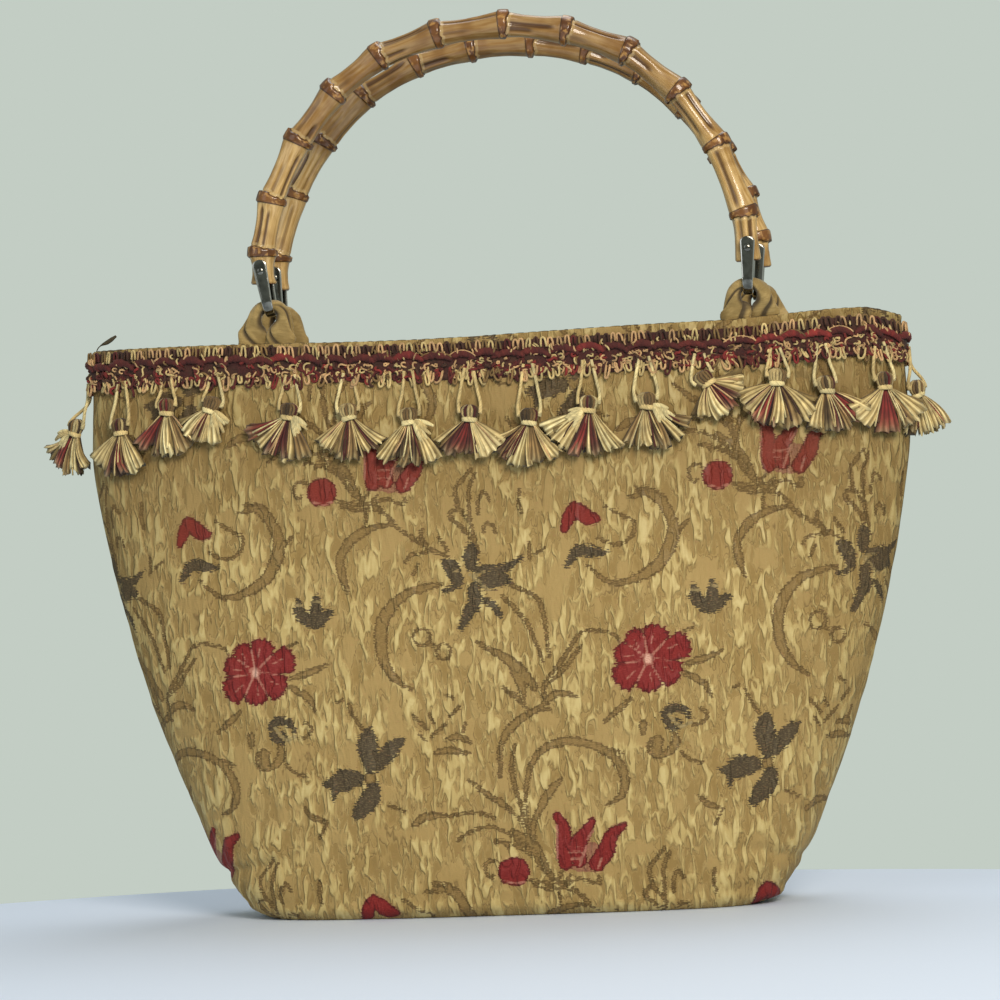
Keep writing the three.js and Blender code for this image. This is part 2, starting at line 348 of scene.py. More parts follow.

# %% [markdown]
# ## The woven flowers
#
# The brocade has a common scrolling pattern of carnations, tulips, berries and leaves in a half-drop repeat.
# An image could carry it, but this one is charted instead, in millimetres from the middle of a
# carnation. It is drawn in brush strokes: each line of the chart is one stroke, and each of its points has a
# place across, a place up and a half width. Only the carnation's fringed edge is an outline, from a formula.

# %% The woven flowers
CARNATION_PETALS = [  # direction in degrees, reach, half of the angle it fills
    (-145, 17, 27),
    (-90, 13.8, 28),
    (-33, 15.5, 29),
    (20, 19, 24),
    (71, 15, 27),
    (120, 14, 22),
    (165, 14.5, 23),
]
NOTCH = 9.2  # distance from the middle to the notch between two petals
FRINGE = 1.5  # depth of the teeth round a petal
PETAL_POINTS = 10
RED_STROKES = """
33 79 5.9, 34 79 5.9
-34.5 58 1.2, -32.5 63 2.6, -30.5 67.5 2
-30 68.5 1.5, -27 65.5 2.9, -24 63 3, -20 62 1.3
-43 -67 1.4, -40 -73 2.4, -40.5 -82 3, -40 -88 2.8
-27.5 -70 1.2, -31 -75.5 2.6, -34.5 -80.5 3.4, -34 -87 3
-13.5 -72.5 1, -19 -76 2.4, -22 -83 3.4, -26.5 -89 3.2
"""
CUP_STROKES = """
-38 -86 4, -31 -85.5 6.5, -25 -86 4
"""
PALE_STROKES = """
-38 -81.5 .4, -32 -81.5 .4
-38.5 -84 .4, -32.5 -84 .4
-37.5 -86.5 .4, -32.5 -86.5 .4
-27 -73.5 .5, -30 -78 .5
-30.5 -81 .5, -34 -89.5 .5
-24 -86 .4, -26 -91 .5
-43 -71 .5, -43.5 -86 .4
29 75 .3, 33.5 73.5 .6, 38 74.5 .3
0 .4 2.1, 0 -.4 2.1
"""
LEAF_STROKES = """
-76 44.5 2.5, -76 48.5 3.3, -76 52 2
-88 46 1.5, -85 44 3.2, -83 40 3, -81.5 36 1.5
-89 33.5 .8, -85.5 34 1.2, -82 37 1
-74.5 42 1.5, -69 42.5 1.8, -63 42 1.8, -58 44 1.4, -53.5 47 .5
-73 37 2, -68 37 4, -64 38.5 3.5, -59.5 36 1.2
-75.5 34 2.5, -75 28 3, -78 23 2.4, -81.5 17 1.2
-70.5 29 1.4, -66.5 25.5 1.6, -63 20 .6
-34 42 1, -29.5 48 2.4, -25 48.5 2.6, -20 47.5 1.8, -15.5 47.5 .6
20 27 1.5, 24 23.5 3, 29 22 3.2, 33.5 24.5 2, 37 26 .8
21 31 1.2, 22 26 2.5
29.5 32 1.5, 29 26 3
6.5 -24 1.8, 10 -21.5 2, 15 -23 1.6, 17 -26 .8
7 -27 1.8, 8.5 -29.5 1.8, 11.5 -31 1
11 -27 .9, 13 -28.5 .6
51.5 -26 .8, 50 -32 4.4, 50.5 -38 4.2, 50.5 -44 1.8
53.5 -43.5 1.8, 57.5 -38.5 3.4, 62 -34 3, 66 -31 .8
29.5 -49.5 .8, 35 -50 3.4, 39 -48.5 4.8, 45 -48 3
34 -53 1.8, 33.5 -57 .6
52 -52 2.6, 50 -57 4.2, 45.5 -62 3.2, 42.5 -65.5 1
"""
VEIN_STROKES = """
-77 40 .5, -72 36.5 .5
-72 35.5 .5, -68 32.5 .5
-75 40.5 .4, -70 41 .4
-84 42 .4, -82 42 .4
8 -24.5 .5, 10.5 -28 .5, 13.5 -30 .6, 17.5 -28.5 .5
19.5 29.5 .4, 23.5 29 .4
28 31 .4, 31.5 30.5 .4
"""
STEM_STROKES = """
-6 71 .5, 4 72 1.5, 12 62 2.2, 12.5 52 2.8, 6 41 2.4, -6 34.5 1.5, -16 34.5 .8, -25 42 .5
14 55 1.4, 20 60 .3
-16.5 68 .5, -9 63 .4, -4 60.5 .4, -5 54 .4, -12 50.5 .4, -20 54 .4
29 82 .4, 25 84 .4, 21.5 83 .4, 21 79 .4, 23 76.5 .4, 24.5 77.5 .4
26 92 .4, 29 92.5 .4, 31 90 .4
40 75 .5, 50 73 .5, 57 73 .6, 66.5 62.5 .6, 76 55.5 .7, 88.5 48 .6
34 97 1, 44 89 1.2, 50 77 .8, 53 75.5 .5
53 75.5 .5, 56 80 .5, 60 82 .4
53 73 .4, 53 65 .4
65 63.5 .5, 56 62.5 1.2, 47 58 2, 41 49.5 1.6, 41.5 42 1.7, 44 34 .4
-92 51 .4, -102 50 .4, -105 47 .4
-99 46 .4, -102 41 .4
-89 36.5 .5, -98 35 1.4, -108 31 2, -116 21 2.5, -117 7 2.3, -112 -4 1.5, -104 -10 .5
-96 10 .4, -92 9 .4
-73 50 .9, -75.5 62 .7, -76 72 .6, -75.5 79 .5, -73 85 .4
-76 56 .5, -80 61.5 .9, -84.5 66 .8, -83.5 69 .6, -79 68.5 .4
-76.5 64 .5, -81 71 .7, -82 78 .6, -79 82 .6, -75 87 .4
-70 58 .5, -69.5 62 .5, -66 61.5 .5, -65 58 .4
-72 67 .5, -72 72 .5, -69.5 76.5 .5, -67 73 .4
-53 66 .5, -54 70 .5, -53.5 77 .5
-50 46 .5, -50 53 .5
-43.5 50.5 .5, -47.5 48 .5
-86 51 .6, -90 57 .6
-95 53 .5, -98 58 .5, -97.5 60.5 .5
-59 35 .8, -53 32 .9, -47 28 .8, -44.5 18 .6, -43 3 .5
-63 30 .6, -58 25 .8, -52 17 .8, -46 1 .6
-46 -15 1.2, -45.5 -9 .7, -36 3 .7, -28.5 13 .5, -16 12 .45, -11 7.5 .4
-45 -9.5 .5, -38 -4 .9, -29 7 .3
-75 10.5 .4, -60 1 2.2, -51.5 -8.5 1.8, -50 -11.5 .6
-64 -10 .9, -58 -15 .9, -54 -19 .5
-59 -3 1.4, -56 -10 1.6, -55 -16 .5
-67 -49 .6, -66 -36 .9, -60.5 -27 1.7, -48 -19 .9, -40 -13.5 1.6, -31 -15.5 .5
-54 -23.5 .5, -48 -20.5 .5, -44 -20.5 .4
-54 -84 .8, -57 -68 .7, -60.5 -54 .9, -61.5 -45 .7, -60 -35 .5
-53.5 -79 .7, -53.5 -71 1, -49 -62 1.6, -45 -56 1.7, -40 -51 .5
-56 -70 .6, -55.5 -52 .8, -49 -39 1.4, -36 -34.5 1.7, -20 -39.5 1.6, -12.5 -50 1.9, -14 -59 1.3, -20.5 -63 .4
-18 -39 1, -12 -40.5 .3
-58 -70 .6, -64 -63 .9, -74 -56 1.1, -81 -50 .4
-53 -85 .6, -60 -77.5 .6, -70 -71.5 .6, -79 -72 .6, -87 -76.5 .5
-53.5 -85 .4, -60 -80.5 .4, -70 -77 .4
-53.5 -85 .6, -50 -91 .6, -42 -97.5 .6
-42 -97 .4, -38 -93.5 .4
-42 -97 .4, -34 -95 .4, -28 -97.5 .4, -25.5 -97 .4, -26 -94.5 .4
-42 -98.5 .5, -48 -99.5 .5, -54 -97.5 .5
-41 -99 .5, -34 -102 .5, -31 -106 .5
-99 -95 .4, -93 -95.5 .6, -88 -99 .7, -84 -105 .5
-106 -69 1, -100 -65.5 1.6, -90 -65.5 .6, -80 -64.5 .4, -70 -67 .4
-104 -21 .6, -98.5 -27 .5
-97 -21 .6, -95 -24.5 .5
-102 -29 .6, -99 -32.5 .5
-96.5 -30.5 .5, -90 -25 .5
-88 -22 .6, -83.5 -17.5 .5
-89 -12.5 .6, -86 -14 .5
-82.5 -28.5 .5, -81 -25 .5
-90 -32 .4, -84 -31 1.5, -79 -34 .4
-95 -37.5 .8, -88 -37 1.5, -80 -38.5 .6
14 10.5 .5, 20 13 .4
16 -3 .5, 22 -1.5 1.4, 28 .5 1.2, 33 2.5 .4
14 -6 .6, 20 -9 1.4, 25 -13 1.2, 27 -18 .4
-8 -17 .4, -13 -21 1.3, -20 -26.5 .4
18.5 -29.5 .4, 23 -28.5 .4, 25 -25 .4, 22 -22.5 .4
9.5 -32 .6, 10.5 -37 1.8, 6.5 -41.5 1.4, 1 -42.5 .8, -1.5 -39 .6, 0 -35 .5, 4.5 -35.5 .4
2.5 -36 2.2, 2 -40 2.2
-3.5 -28.5 1.8, -3.5 -32.5 .8
12.5 -41 .5, 17 -45 .5, 22 -46 .5
42 -15 .4, 44 -20 .4, 48 -26 .4
36.5 -14 .4, 39.5 -13 .4
20 -61 .5, 24 -65 1.2, 30 -66.5 .4
30 -66.5 .4, 26 -74 .5
58 -60 .4, 65 -63 .4
50.5 -47 2.4, 50.5 -48.5 2.4
"""
RINGS = [(-99, 13.5, 3.8), (-89.5, 6.5, 3.2)]  # middle across and up, radius
RING_WIDTH = 0.5
REPEAT = np.array([(174.9, 0.0), (78.5, -170.0)])  # one repeat across, and one half-drop down
CARNATION = np.array([66.8, 111.1])  # middle of a carnation on the front, across and up
MARGIN = 1.6  # how far outside a motif its depth is still worked out
THINNEST = 0.55  # half width of the thinnest line that the cloth's grid can hold


def fringed_edge(petals):
    """The carnation's outline. Across a petal the radius falls off from its reach by a square, with a tooth
    at every other point, and between two petals it drops to the notch."""
    direction, reach, half = np.array(petals, float).T[:, :, None]
    t = np.linspace(-1, 1, PETAL_POINTS, endpoint=False)
    tooth = FRINGE * (np.arange(PETAL_POINTS) % 2 - 0.5)
    radius = np.where(t > -1, reach * (1 - 0.12 * t**2) + tooth, NOTCH)
    angle = np.radians(direction + half * t)
    return np.stack([radius * np.cos(angle), radius * np.sin(angle)], -1).reshape(-1, 2)


def rays(petals):
    """The carnation's pale lines: from its middle to each notch, and a short one inside each petal."""
    direction, reach, half = np.array(petals, float).T
    angle = np.radians(np.r_[direction - half, direction + 0.2 * half])
    ends = np.stack([np.r_[0 * reach + 2.8, 0.45 * reach], np.r_[0 * reach + NOTCH + 1, 0.75 * reach]], 1)
    width = np.r_[0 * reach + 0.5, 0 * reach + 0.35]
    turned = np.stack([np.cos(angle), np.sin(angle)], 1)
    return [np.column_stack([r[:, None] * way, [w, w]]) for r, way, w in zip(ends, turned, width)]


def ring(x, z, radius):
    """A circle as a closed stroke."""
    turn = np.linspace(0, 2 * np.pi, 25)
    return np.stack([x + radius * np.cos(turn), z + radius * np.sin(turn), RING_WIDTH + 0 * turn], 1)


def strokes(text):
    """One curve for each line: points are separated by commas, numbers by blanks."""
    lines = [line.replace(",", " ") for line in text.strip().splitlines()]
    return [rounded(np.array(line.split(), float).reshape(-1, 3)) for line in lines]


def rounded(line):
    """A line of points turned into a smooth curve with four steps between neighbours."""
    if len(line) < 3:
        return line
    run = np.arange(len(line))
    curve = eased(np.linspace(0, len(line) - 1, 4 * len(line) - 3), run, line)
    curve[:, 2] = np.maximum(curve[:, 2], THINNEST)
    return curve


def nearest_on(points, start, end):
    """For every point and straight piece: where along it the nearest place lies, and how far off."""
    edge = end - start
    offset = points[:, None] - start
    t = np.clip((offset * edge).sum(-1) / np.maximum((edge**2).sum(-1), 1e-9), 0, 1)
    return t, np.linalg.norm(offset - t[..., None] * edge, axis=-1)


def petal_depth(points, corners):
    """Distance inside a closed outline, negative outside. Inside means an odd count of edges to the right."""
    start, end = corners, np.roll(corners, -1, 0)
    _, far = nearest_on(points, start, end)
    x, z = points[:, :1], points[:, 1:]
    spans = (start[:, 1] > z) != (end[:, 1] > z)
    rise = np.where(start[:, 1] == end[:, 1], 1, end[:, 1] - start[:, 1])
    crossing = start[:, 0] + (z - start[:, 1]) / rise * (end[:, 0] - start[:, 0])
    inside = (spans & (x < crossing)).sum(1) % 2 == 1
    return np.where(inside, far.min(1), -far.min(1))


def line_depth(points, line):
    """Half width of a line minus the distance to its middle, at the nearest place on it."""
    t, far = nearest_on(points, line[:-1, :2], line[1:, :2])
    width = line[:-1, 2] * (1 - t) + line[1:, 2] * t
    return (width - far).max(1)


def woven_depth(cloth, curves, measure):
    """The largest depth of any repeat of any curve at every point of the cloth."""
    depth = np.full(len(cloth), -MARGIN)
    steps = np.stack(np.meshgrid(range(-4, 5), range(-3, 4)), -1).reshape(-1, 2) @ REPEAT
    low, high = cloth.min(0), cloth.max(0)
    for curve in curves:
        reach = MARGIN + (curve[:, 2].max() if curve.shape[1] == 3 else 0)
        least, most = curve[:, :2].min(0) - reach, curve[:, :2].max(0) + reach
        for step in steps:
            if (least + step > high).any() or (most + step < low).any():
                continue
            near = np.flatnonzero(((cloth > least + step) & (cloth < most + step)).all(1))
            if len(near):
                depth[near] = np.maximum(depth[near], measure(cloth[near] - step, curve))
    return depth


CHARTED = [  # label on the cloth, curves, how their depth is measured
    ("carnation", [fringed_edge(CARNATION_PETALS)], petal_depth),
    ("red", strokes(RED_STROKES), line_depth),
    ("cup", strokes(CUP_STROKES), line_depth),
    ("leaf", strokes(LEAF_STROKES), line_depth),
    ("pale", strokes(PALE_STROKES) + rays(CARNATION_PETALS), line_depth),
    ("vein", strokes(VEIN_STROKES), line_depth),
    ("stem", strokes(STEM_STROKES) + [ring(*row) for row in RINGS], line_depth),
]
print({label: len(curves) for label, curves, _ in CHARTED})

# %% [markdown]
# ## The cloth panels
#
# A real bag like this is sewn from a front and a back panel that meet in side seams and in a seam along the
# bottom. Each panel here is one closed sheet of cloth: its grid starts at the bottom seam, runs out to
# the base edge, up the face, over the folded rim and down the inside. Columns are evenly spaced along the
# cloth, so the pattern isn't stretched. Then the cloth gets its relief: soft hollows, puckers under the
# braid, raised slubs of the weave, the thickness of the flowers, and a groove along the seams.

# %% The cloth panels
WALL = 2
COLUMNS = 404
FACE_ROWS = 188
FLOOR_ROWS = 12
INSIDE_ROWS = 30
BOTTOM_SEAM_SHORT = 0.02  # part of the half width by which the bottom seam ends before the side seams
SEAM_WIDTH = 2.4
SEAM_DEPTH = 1.0


def panel_path():
    """The cloth's way from the bottom seam to the rim and back inside.

    Columns: height, inset from the outer face, reach from the bottom seam (0) to the base edge (1)."""
    fold = WALL / 2
    floor_reach = np.linspace(0, 1, FLOOR_ROWS, endpoint=False)
    face = np.linspace(0, RIM - fold, FACE_ROWS)
    over = np.linspace(0, np.pi, 8)[1:-1]
    inside = np.linspace(RIM - fold, WALL, INSIDE_ROWS)
    inside_reach = np.linspace(1, 0, FLOOR_ROWS // 2)[1:]
    height = np.r_[0 * floor_reach, face, RIM - fold + fold * np.sin(over), inside, 0 * inside_reach + WALL]
    inner = 0 * np.r_[inside, inside_reach] + WALL
    inset = np.r_[0 * floor_reach, 0 * face, fold - fold * np.cos(over), inner]
    reach = np.r_[floor_reach, 0 * face + 1, 0 * over + 1, 0 * inside + 1, inside_reach]
    return np.stack([height, inset, reach], 1)


def panel_grid(path):
    """Front points and the distance along the cloth from the middle column.

    Each row follows half of the rounded outline. Angles are picked so that the columns lie at equal steps
    of arc length. Floor rows are the base edge drawn in towards the bottom seam."""
    height, inset, reach = path.T[:, :, None]
    dense = np.pi + np.pi * (0.5 - 0.5 * np.cos(np.linspace(0, np.pi, 1201)))
    x, y = outline(height, dense[None], inset)
    run = np.cumsum(np.hypot(np.diff(x, axis=1), np.diff(y, axis=1)), axis=1)
    run = np.hstack([0 * height, run])
    wanted = np.linspace(0, 1, COLUMNS)
    angle = np.stack([np.interp(wanted * row[-1], row, dense) for row in run])
    x, y = outline(height, angle, inset)
    x = x * (1 - BOTTOM_SEAM_SHORT * (1 - reach))
    across = (wanted - 0.5) * run[:, -1:]
    up = height - (1 - reach) * section_at(0 * height)[1]
    return np.stack([x, y * reach, height + 0 * x], -1), across, up + 0 * x


def ground_weave(u, v, seed):
    """Slubs (raised +, sunk -) and smooth islands of the ground weave, from stretched noise.

    Slubs are long thin cells in two layers that slant either way, bent by a third noise. Islands flatten
    them."""
    bent = u + 1.8 * soft_noise(u, v, (8, 11), seed)
    slub = 0.65 * soft_noise(bent + 0.16 * v, v, (3.0, 12), seed + 1)
    slub = slub + 0.55 * soft_noise(bent - 0.12 * v, v, (4.4, 16), seed + 2)
    island = smooth(soft_noise(u, v, (6.5, 9.5), seed + 3), 0.35, 0.65)
    return slub * (1 - 0.8 * island), island


def base_fold(x, v):
    """The soft lower corners: a slanting crease above the base, and a bulge below it that sags outwards."""
    crease = np.exp(-(((v - 25 + 0.22 * (np.abs(x) - 110)) / 2.6) ** 2)) * smooth(np.abs(x), 84, 112)
    bulge = np.exp(-(((v - 13) / 7) ** 2)) * smooth(np.abs(x), 76, 104)
    return np.where(x < 0, 1.0, 0.55) * (1.7 * bulge - 2.0 * crease)


def panel_relief(u, v, x, woven, slub, edge, seed):
    """Millimetres by which the cloth stands out: hollows, puckers, folds, slubs, flowers, less at seams."""
    hollows = 1.3 * soft_noise(u, v, (70, 95), seed + 5) + 0.6 * soft_noise(u, v, (32, 45), seed + 6)
    under_braid = smooth(v, 190, 220) * (1 - smooth(v, 244, 252))
    puckers = 1.0 * under_braid * soft_noise(u + 0.3 * v, v, (11, 18), seed + 7)
    flowers = 0.14 * smooth(np.maximum(woven["red"], woven["leaf"]), -0.2, 0.5)
    relief = hollows + puckers + base_fold(x, v) + flowers + 0.55 * slub
    seam = np.exp(-((edge / SEAM_WIDTH) ** 2))
    return relief * smooth(edge, 0, 9) - SEAM_DEPTH * seam


def side_strip(rows, rim_row, run, column):
    """Faces that close the cut edge of a panel between its outer and its inner rows."""
    outer = np.arange(rim_row + 1)
    inner = np.arange(rows - 1, rim_row - 1, -1)
    part_out, part_in = run[outer] / run[rim_row], (run[-1] - run[inner]) / (run[-1] - run[rim_row])
    pair = inner[np.clip(np.searchsorted(part_in, part_out), 0, len(inner) - 1)]
    pair[0], pair[-1] = rows - 1, rim_row
    strip = np.stack([outer[:-1], outer[1:], pair[1:], pair[:-1]], 1) * COLUMNS + column
    three = strip[:, 2] == strip[:, 3]
    tip = strip[:, 1] == strip[:, 2]
    blocks = [strip[~three & ~tip], strip[three][:, :3], strip[tip & ~three][:, [0, 1, 3]]]
    return [block if column == 0 else block[:, ::-1] for block in blocks if len(block)]


def cloth_panel(name, materials, half_turn, pattern_shift, seed):
    """One panel as a closed sheet: grid, relief along the outward normal, sagging rim, closed edges."""
    path = panel_path()
    points, across, up = panel_grid(path)
    rows = len(path)
    rim_row = FLOOR_ROWS + FACE_ROWS + 3
    cloth = np.stack([across.ravel(), up.ravel()], 1)
    outside = np.arange(rows) <= rim_row
    charted = cloth - CARNATION - pattern_shift
    charted[~np.repeat(outside, COLUMNS)] = 1e4
    seen = np.flatnonzero(np.repeat(outside, COLUMNS))
    woven = {}
    for label, curves, measure in CHARTED:
        woven[label] = np.full(len(cloth), -MARGIN)
        woven[label][seen] = woven_depth(charted[seen], curves, measure)
    woven["red"] = np.maximum(woven["red"], woven.pop("carnation"))
    slub, island = ground_weave(cloth[:, 0], cloth[:, 1], seed)
    side = np.gradient(points, axis=1)
    upward = np.gradient(points, axis=0)
    normal = unit(np.cross(side, upward)).reshape(-1, 3)
    length = across[:, -1:] - np.abs(across)
    x = points[..., 0].ravel()
    relief = panel_relief(cloth[:, 0], cloth[:, 1], x, woven, slub, length.ravel(), seed)
    on_face = (smooth(path[:, 0], 0, 6) * (path[:, 1] == 0) * (path[:, 2] == 1))[:, None] + 0 * across
    on_face *= 1 - smooth(up, RIM - 6, RIM)
    points = points.reshape(-1, 3) + normal * (relief * on_face.ravel())[:, None]
    points[:, 2] += rim_lift(points[:, 0] * half_turn, points[:, 2])
    points[:, :2] *= half_turn
    faces = grid_faces(rows, COLUMNS, close_rows=True)
    run = np.r_[0, np.cumsum(np.linalg.norm(np.diff(path[:, [0, 2]] * [1, 33], axis=0), axis=1))]
    strips = side_strip(rows, rim_row, run, 0) + side_strip(rows, rim_row, run, COLUMNS - 1)
    blocks = [faces] + strips
    inner = np.repeat(np.arange(rows) > rim_row, COLUMNS - 1)
    second = np.r_[inner, np.ones(sum(len(block) for block in strips), bool)]
    values = {"cloth": np.column_stack([cloth, 0 * x]), "slub": slub, "island": island, **woven}
    count = make_piece(name, points, blocks, values, materials, "bag", ["bag_body"], second)
    print(name, count, "triangles, relief", relief.min().round(2), "to", relief.max().round(2), "mm")


# %% [markdown]
# ## Brocade
#
# Brocade is a heavy jacquard cloth: satin-like slubs of gold weft over a matt tan ground, with flowers in
# red, brown and olive weft. Up close a woven outline isn't smooth: it steps from thread to thread, so
# the edges of the flowers have short horizontal teeth. The depth stored on the cloth, shaken by a noise
# that is long across and fine along the warp, gives those teeth. The slubs stand up like small flames, so
# their finer half is a second stretched noise that both colours the cloth and raises it.
# Their hollows and edges get painted shade, and their tops a painted highlight.

# %% Brocade
WEFT_TOOTH = (2.4, 0.7)  # length across and height of one tooth, drawn coarser than the real threads
FLAME = (2.7, 9.0)  # width and height of one slub
EDGE_BLUR = 0.22
SHADE_UP_TO_FRINGE = (0.14, 0.22)  # heights in metres between which painted shade darkens the cloth, up to the fringe
SHADE_TO_SIDES = (0.1, 0.17)  # distances from the middle, in metres, between which painted shade darkens the cloth to the sides
# In GOLD and DULL, groove, tip and line are painted shade and painted highlight on the slubs' relief; line
# also colours the painted shade towards the fringe and the sides.
GOLD = {
    "ground": "#A88F59", "mottle": "#9C824C", "island": "#A38953", "groove": "#8A713F",
    "flame": "#BBA569", "tip": "#CDBB80", "line": "#58431F",
}
DULL = {
    "ground": "#8F7A4A", "mottle": "#857046", "island": "#8A7548", "groove": "#756036",
    "flame": "#9A8552", "tip": "#A28D58", "line": "#66522C",
}
# Name, growth in mm, reach of the teeth, how far slubs break the motif, cover, then the colours of its middle,
# of single threads and of its edge.
MOTIFS = [
    ("stem", 1.05, 0.7, 1.5, 0.92, "#80673A", "#957C48", "#4A3617"),
    ("leaf", 0.35, 1.3, 0.4, 0.96, "#3E3324", "#685B3E", "#30281B"),
    ("vein", 0.25, 0.4, 0.0, 0.9, "#BBA878", "#9C8A5E", "#86754C"),
    ("cup", 0.4, 0.5, 0.0, 0.85, "#946350", "#76302A", "#845040"),
    ("red", 1.0, 0.8, 0.0, 0.35, "#C09668", "#B3815C", "#A87C54"),
    ("red", 0.5, 0.6, 0.0, 1.0, "#791D1A", "#892B27", "#4C100E"),
    ("pale", 0.05, 0.25, 0.0, 0.95, "#D8AC96", "#BC8470", "#9C5C4C"),
]


def woven_material(name, hues, strength):
    """Gives the eye a matt tan cloth with lighter satin slubs and flowers with toothed edges."""
    cloth = bare_material(name)
    place = node(cloth, "ShaderNodeAttribute", attribute_name="cloth").outputs["Vector"]
    sockets = {"Vector": place, "Scale": (1 / WEFT_TOOTH[0], 1 / WEFT_TOOTH[1], 1)}
    across = node(cloth, "ShaderNodeMapping", sockets).outputs[0]
    teeth = node(cloth, "ShaderNodeTexNoise", {"Vector": across, "Scale": 1.0, "Detail": 1.0}).outputs[0]
    shake = node(cloth, "ShaderNodeMapRange", {0: teeth, 1: 0.25, 2: 0.75, 3: -1.0, 4: 1.0}).outputs[0]
    thread = node(cloth, "ShaderNodeTexNoise", {"Vector": across, "Scale": 1.7, "Detail": 2.0}).outputs[0]
    mottle = node(cloth, "ShaderNodeTexNoise", {"Vector": place, "Scale": 0.05, "Detail": 3.0}).outputs[0]
    sockets = {"Vector": place, "Scale": (1 / FLAME[0], 1 / FLAME[1], 1)}
    upright = node(cloth, "ShaderNodeMapping", sockets).outputs[0]
    sockets = {"Vector": upright, "Scale": 1.0, "Detail": 1.6, "Roughness": 0.5, "Distortion": 0.9}
    fine = node(cloth, "ShaderNodeTexNoise", sockets).outputs[0]
    slub = node(cloth, "ShaderNodeAttribute", attribute_name="slub").outputs["Fac"]
    island = node(cloth, "ShaderNodeAttribute", attribute_name="island").outputs["Fac"]
    rough = node(cloth, "ShaderNodeMath", {0: slub, 1: 0.16, 2: fine}, operation="MULTIPLY_ADD").outputs[0]
    calm = node(cloth, "ShaderNodeMath", {0: island, 1: 0.85}, operation="MULTIPLY").outputs[0]
    flame = node(cloth, "ShaderNodeMix", {0: calm, 2: rough, 3: 0.49}).outputs[0]
    level = node(cloth, "ShaderNodeMapRange", {0: mottle, 1: 0.3, 2: 0.7, 3: 0.36, 4: 0.5}).outputs[0]
    off_level = node(cloth, "ShaderNodeMath", {0: flame, 1: level}, operation="SUBTRACT").outputs[0]
    contour = node(cloth, "ShaderNodeMath", {0: off_level}, operation="ABSOLUTE").outputs[0]
    colour = painted(cloth, linear(hues["ground"]), [
        (mottle, 0.4, 0.65, 0.8, linear(hues["mottle"])),
        (island, 0.2, 0.9, 0.7, linear(hues["island"])),
        # Painted shade in the hollows by the slubs, painted highlight on their tops, and a thin line of
        # painted shade along their edges.
        (flame, 0.44, 0.32, 0.75, linear(hues["groove"])),
        (flame, 0.5, 0.6, 0.85, linear(hues["flame"])),
        (flame, 0.6, 0.78, 0.75, linear(hues["tip"])),
        (contour, 0.02, 0.0, 0.6, linear(hues["line"])),
    ])
    for label, growth, reach, torn, cover, middle, strand, rim in MOTIFS:
        depth = node(cloth, "ShaderNodeAttribute", attribute_name=label).outputs["Fac"]
        grown = node(cloth, "ShaderNodeMath", {0: depth, 1: growth}, operation="ADD").outputs[0]
        sockets = {0: shake, 1: reach, 2: grown}
        toothed = node(cloth, "ShaderNodeMath", sockets, operation="MULTIPLY_ADD").outputs[0]
        sockets = {0: flame, 1: -torn, 2: toothed}
        ragged = node(cloth, "ShaderNodeMath", sockets, operation="MULTIPLY_ADD").outputs[0]
        hue = painted(cloth, linear(middle), [
            (thread, 0.45, 0.68, 0.9, linear(strand)),
            (ragged, 1.2, 0.2, 0.88, linear(rim)),
        ])
        colour = painted(cloth, colour, [(ragged, -EDGE_BLUR, EDGE_BLUR, cover * strength, hue)])
    where = node(cloth, "ShaderNodeTexCoord").outputs["Object"]
    where = node(cloth, "ShaderNodeSeparateXYZ", {0: where}).outputs
    side = node(cloth, "ShaderNodeMath", {0: where["X"]}, operation="ABSOLUTE").outputs[0]
    # Painted shade: the cloth gets darker up towards the fringe and out towards the sides.
    colour = painted(cloth, colour, [
        (where["Z"], *SHADE_UP_TO_FRINGE, 0.26, linear(hues["line"])),
        (side, *SHADE_TO_SIDES, 0.2, linear(hues["line"])),
    ])
    gloss = node(cloth, "ShaderNodeMapRange", {0: flame, 1: 0.4, 2: 0.7, 3: 0.8, 4: 0.5}).outputs[0]
    sockets = {0: flame, 1: 0.42, 2: 0.62}
    raised = node(cloth, "ShaderNodeMapRange", sockets, interpolation_type="SMOOTHSTEP").outputs[0]
    added = node(cloth, "ShaderNodeMath", {0: thread, 1: 0.2, 2: raised}, operation="MULTIPLY_ADD")
    relief = added.outputs[0]
    bump = node(cloth, "ShaderNodeBump", {"Height": relief, "Strength": 1.0, "Distance": 0.0007}).outputs[0]
    shader = node(cloth, "ShaderNodeBsdfPrincipled", {
        "Base Color": colour,
        "Roughness": gloss,
        "Specular IOR Level": 0.35,
        "Normal": bump,
    })
    node(cloth, "ShaderNodeOutputMaterial", {"Surface": shader.outputs[0]})
    return cloth


brocade = woven_material("gold jacquard brocade", GOLD, 1.0)
wrong_side = woven_material("brocade, wrong side", DULL, 0.55)
BACK_SHIFT = np.array([52.0, -34.0])  # the back panel is cut from another place of the cloth
cloth_panel("bag_front", [brocade, wrong_side], 1, np.zeros(2), 11)
cloth_panel("bag_back", [brocade, wrong_side], -1, BACK_SHIFT, 41)

# %% [markdown]
# ## Bamboo handles
#
# The handles are bamboo root, steamed and bent into an arch. The canes stay straight between their joints,
# so the arch is a row of straight pieces with rounded corners. At each joint a brown ring stands out.
# Its far edge is torn where the sheath was cut away, and shallow channels run between the joints. A tube
# with a bevel could be bent along a curve, but a radius worked out from place and angle gives all of this.

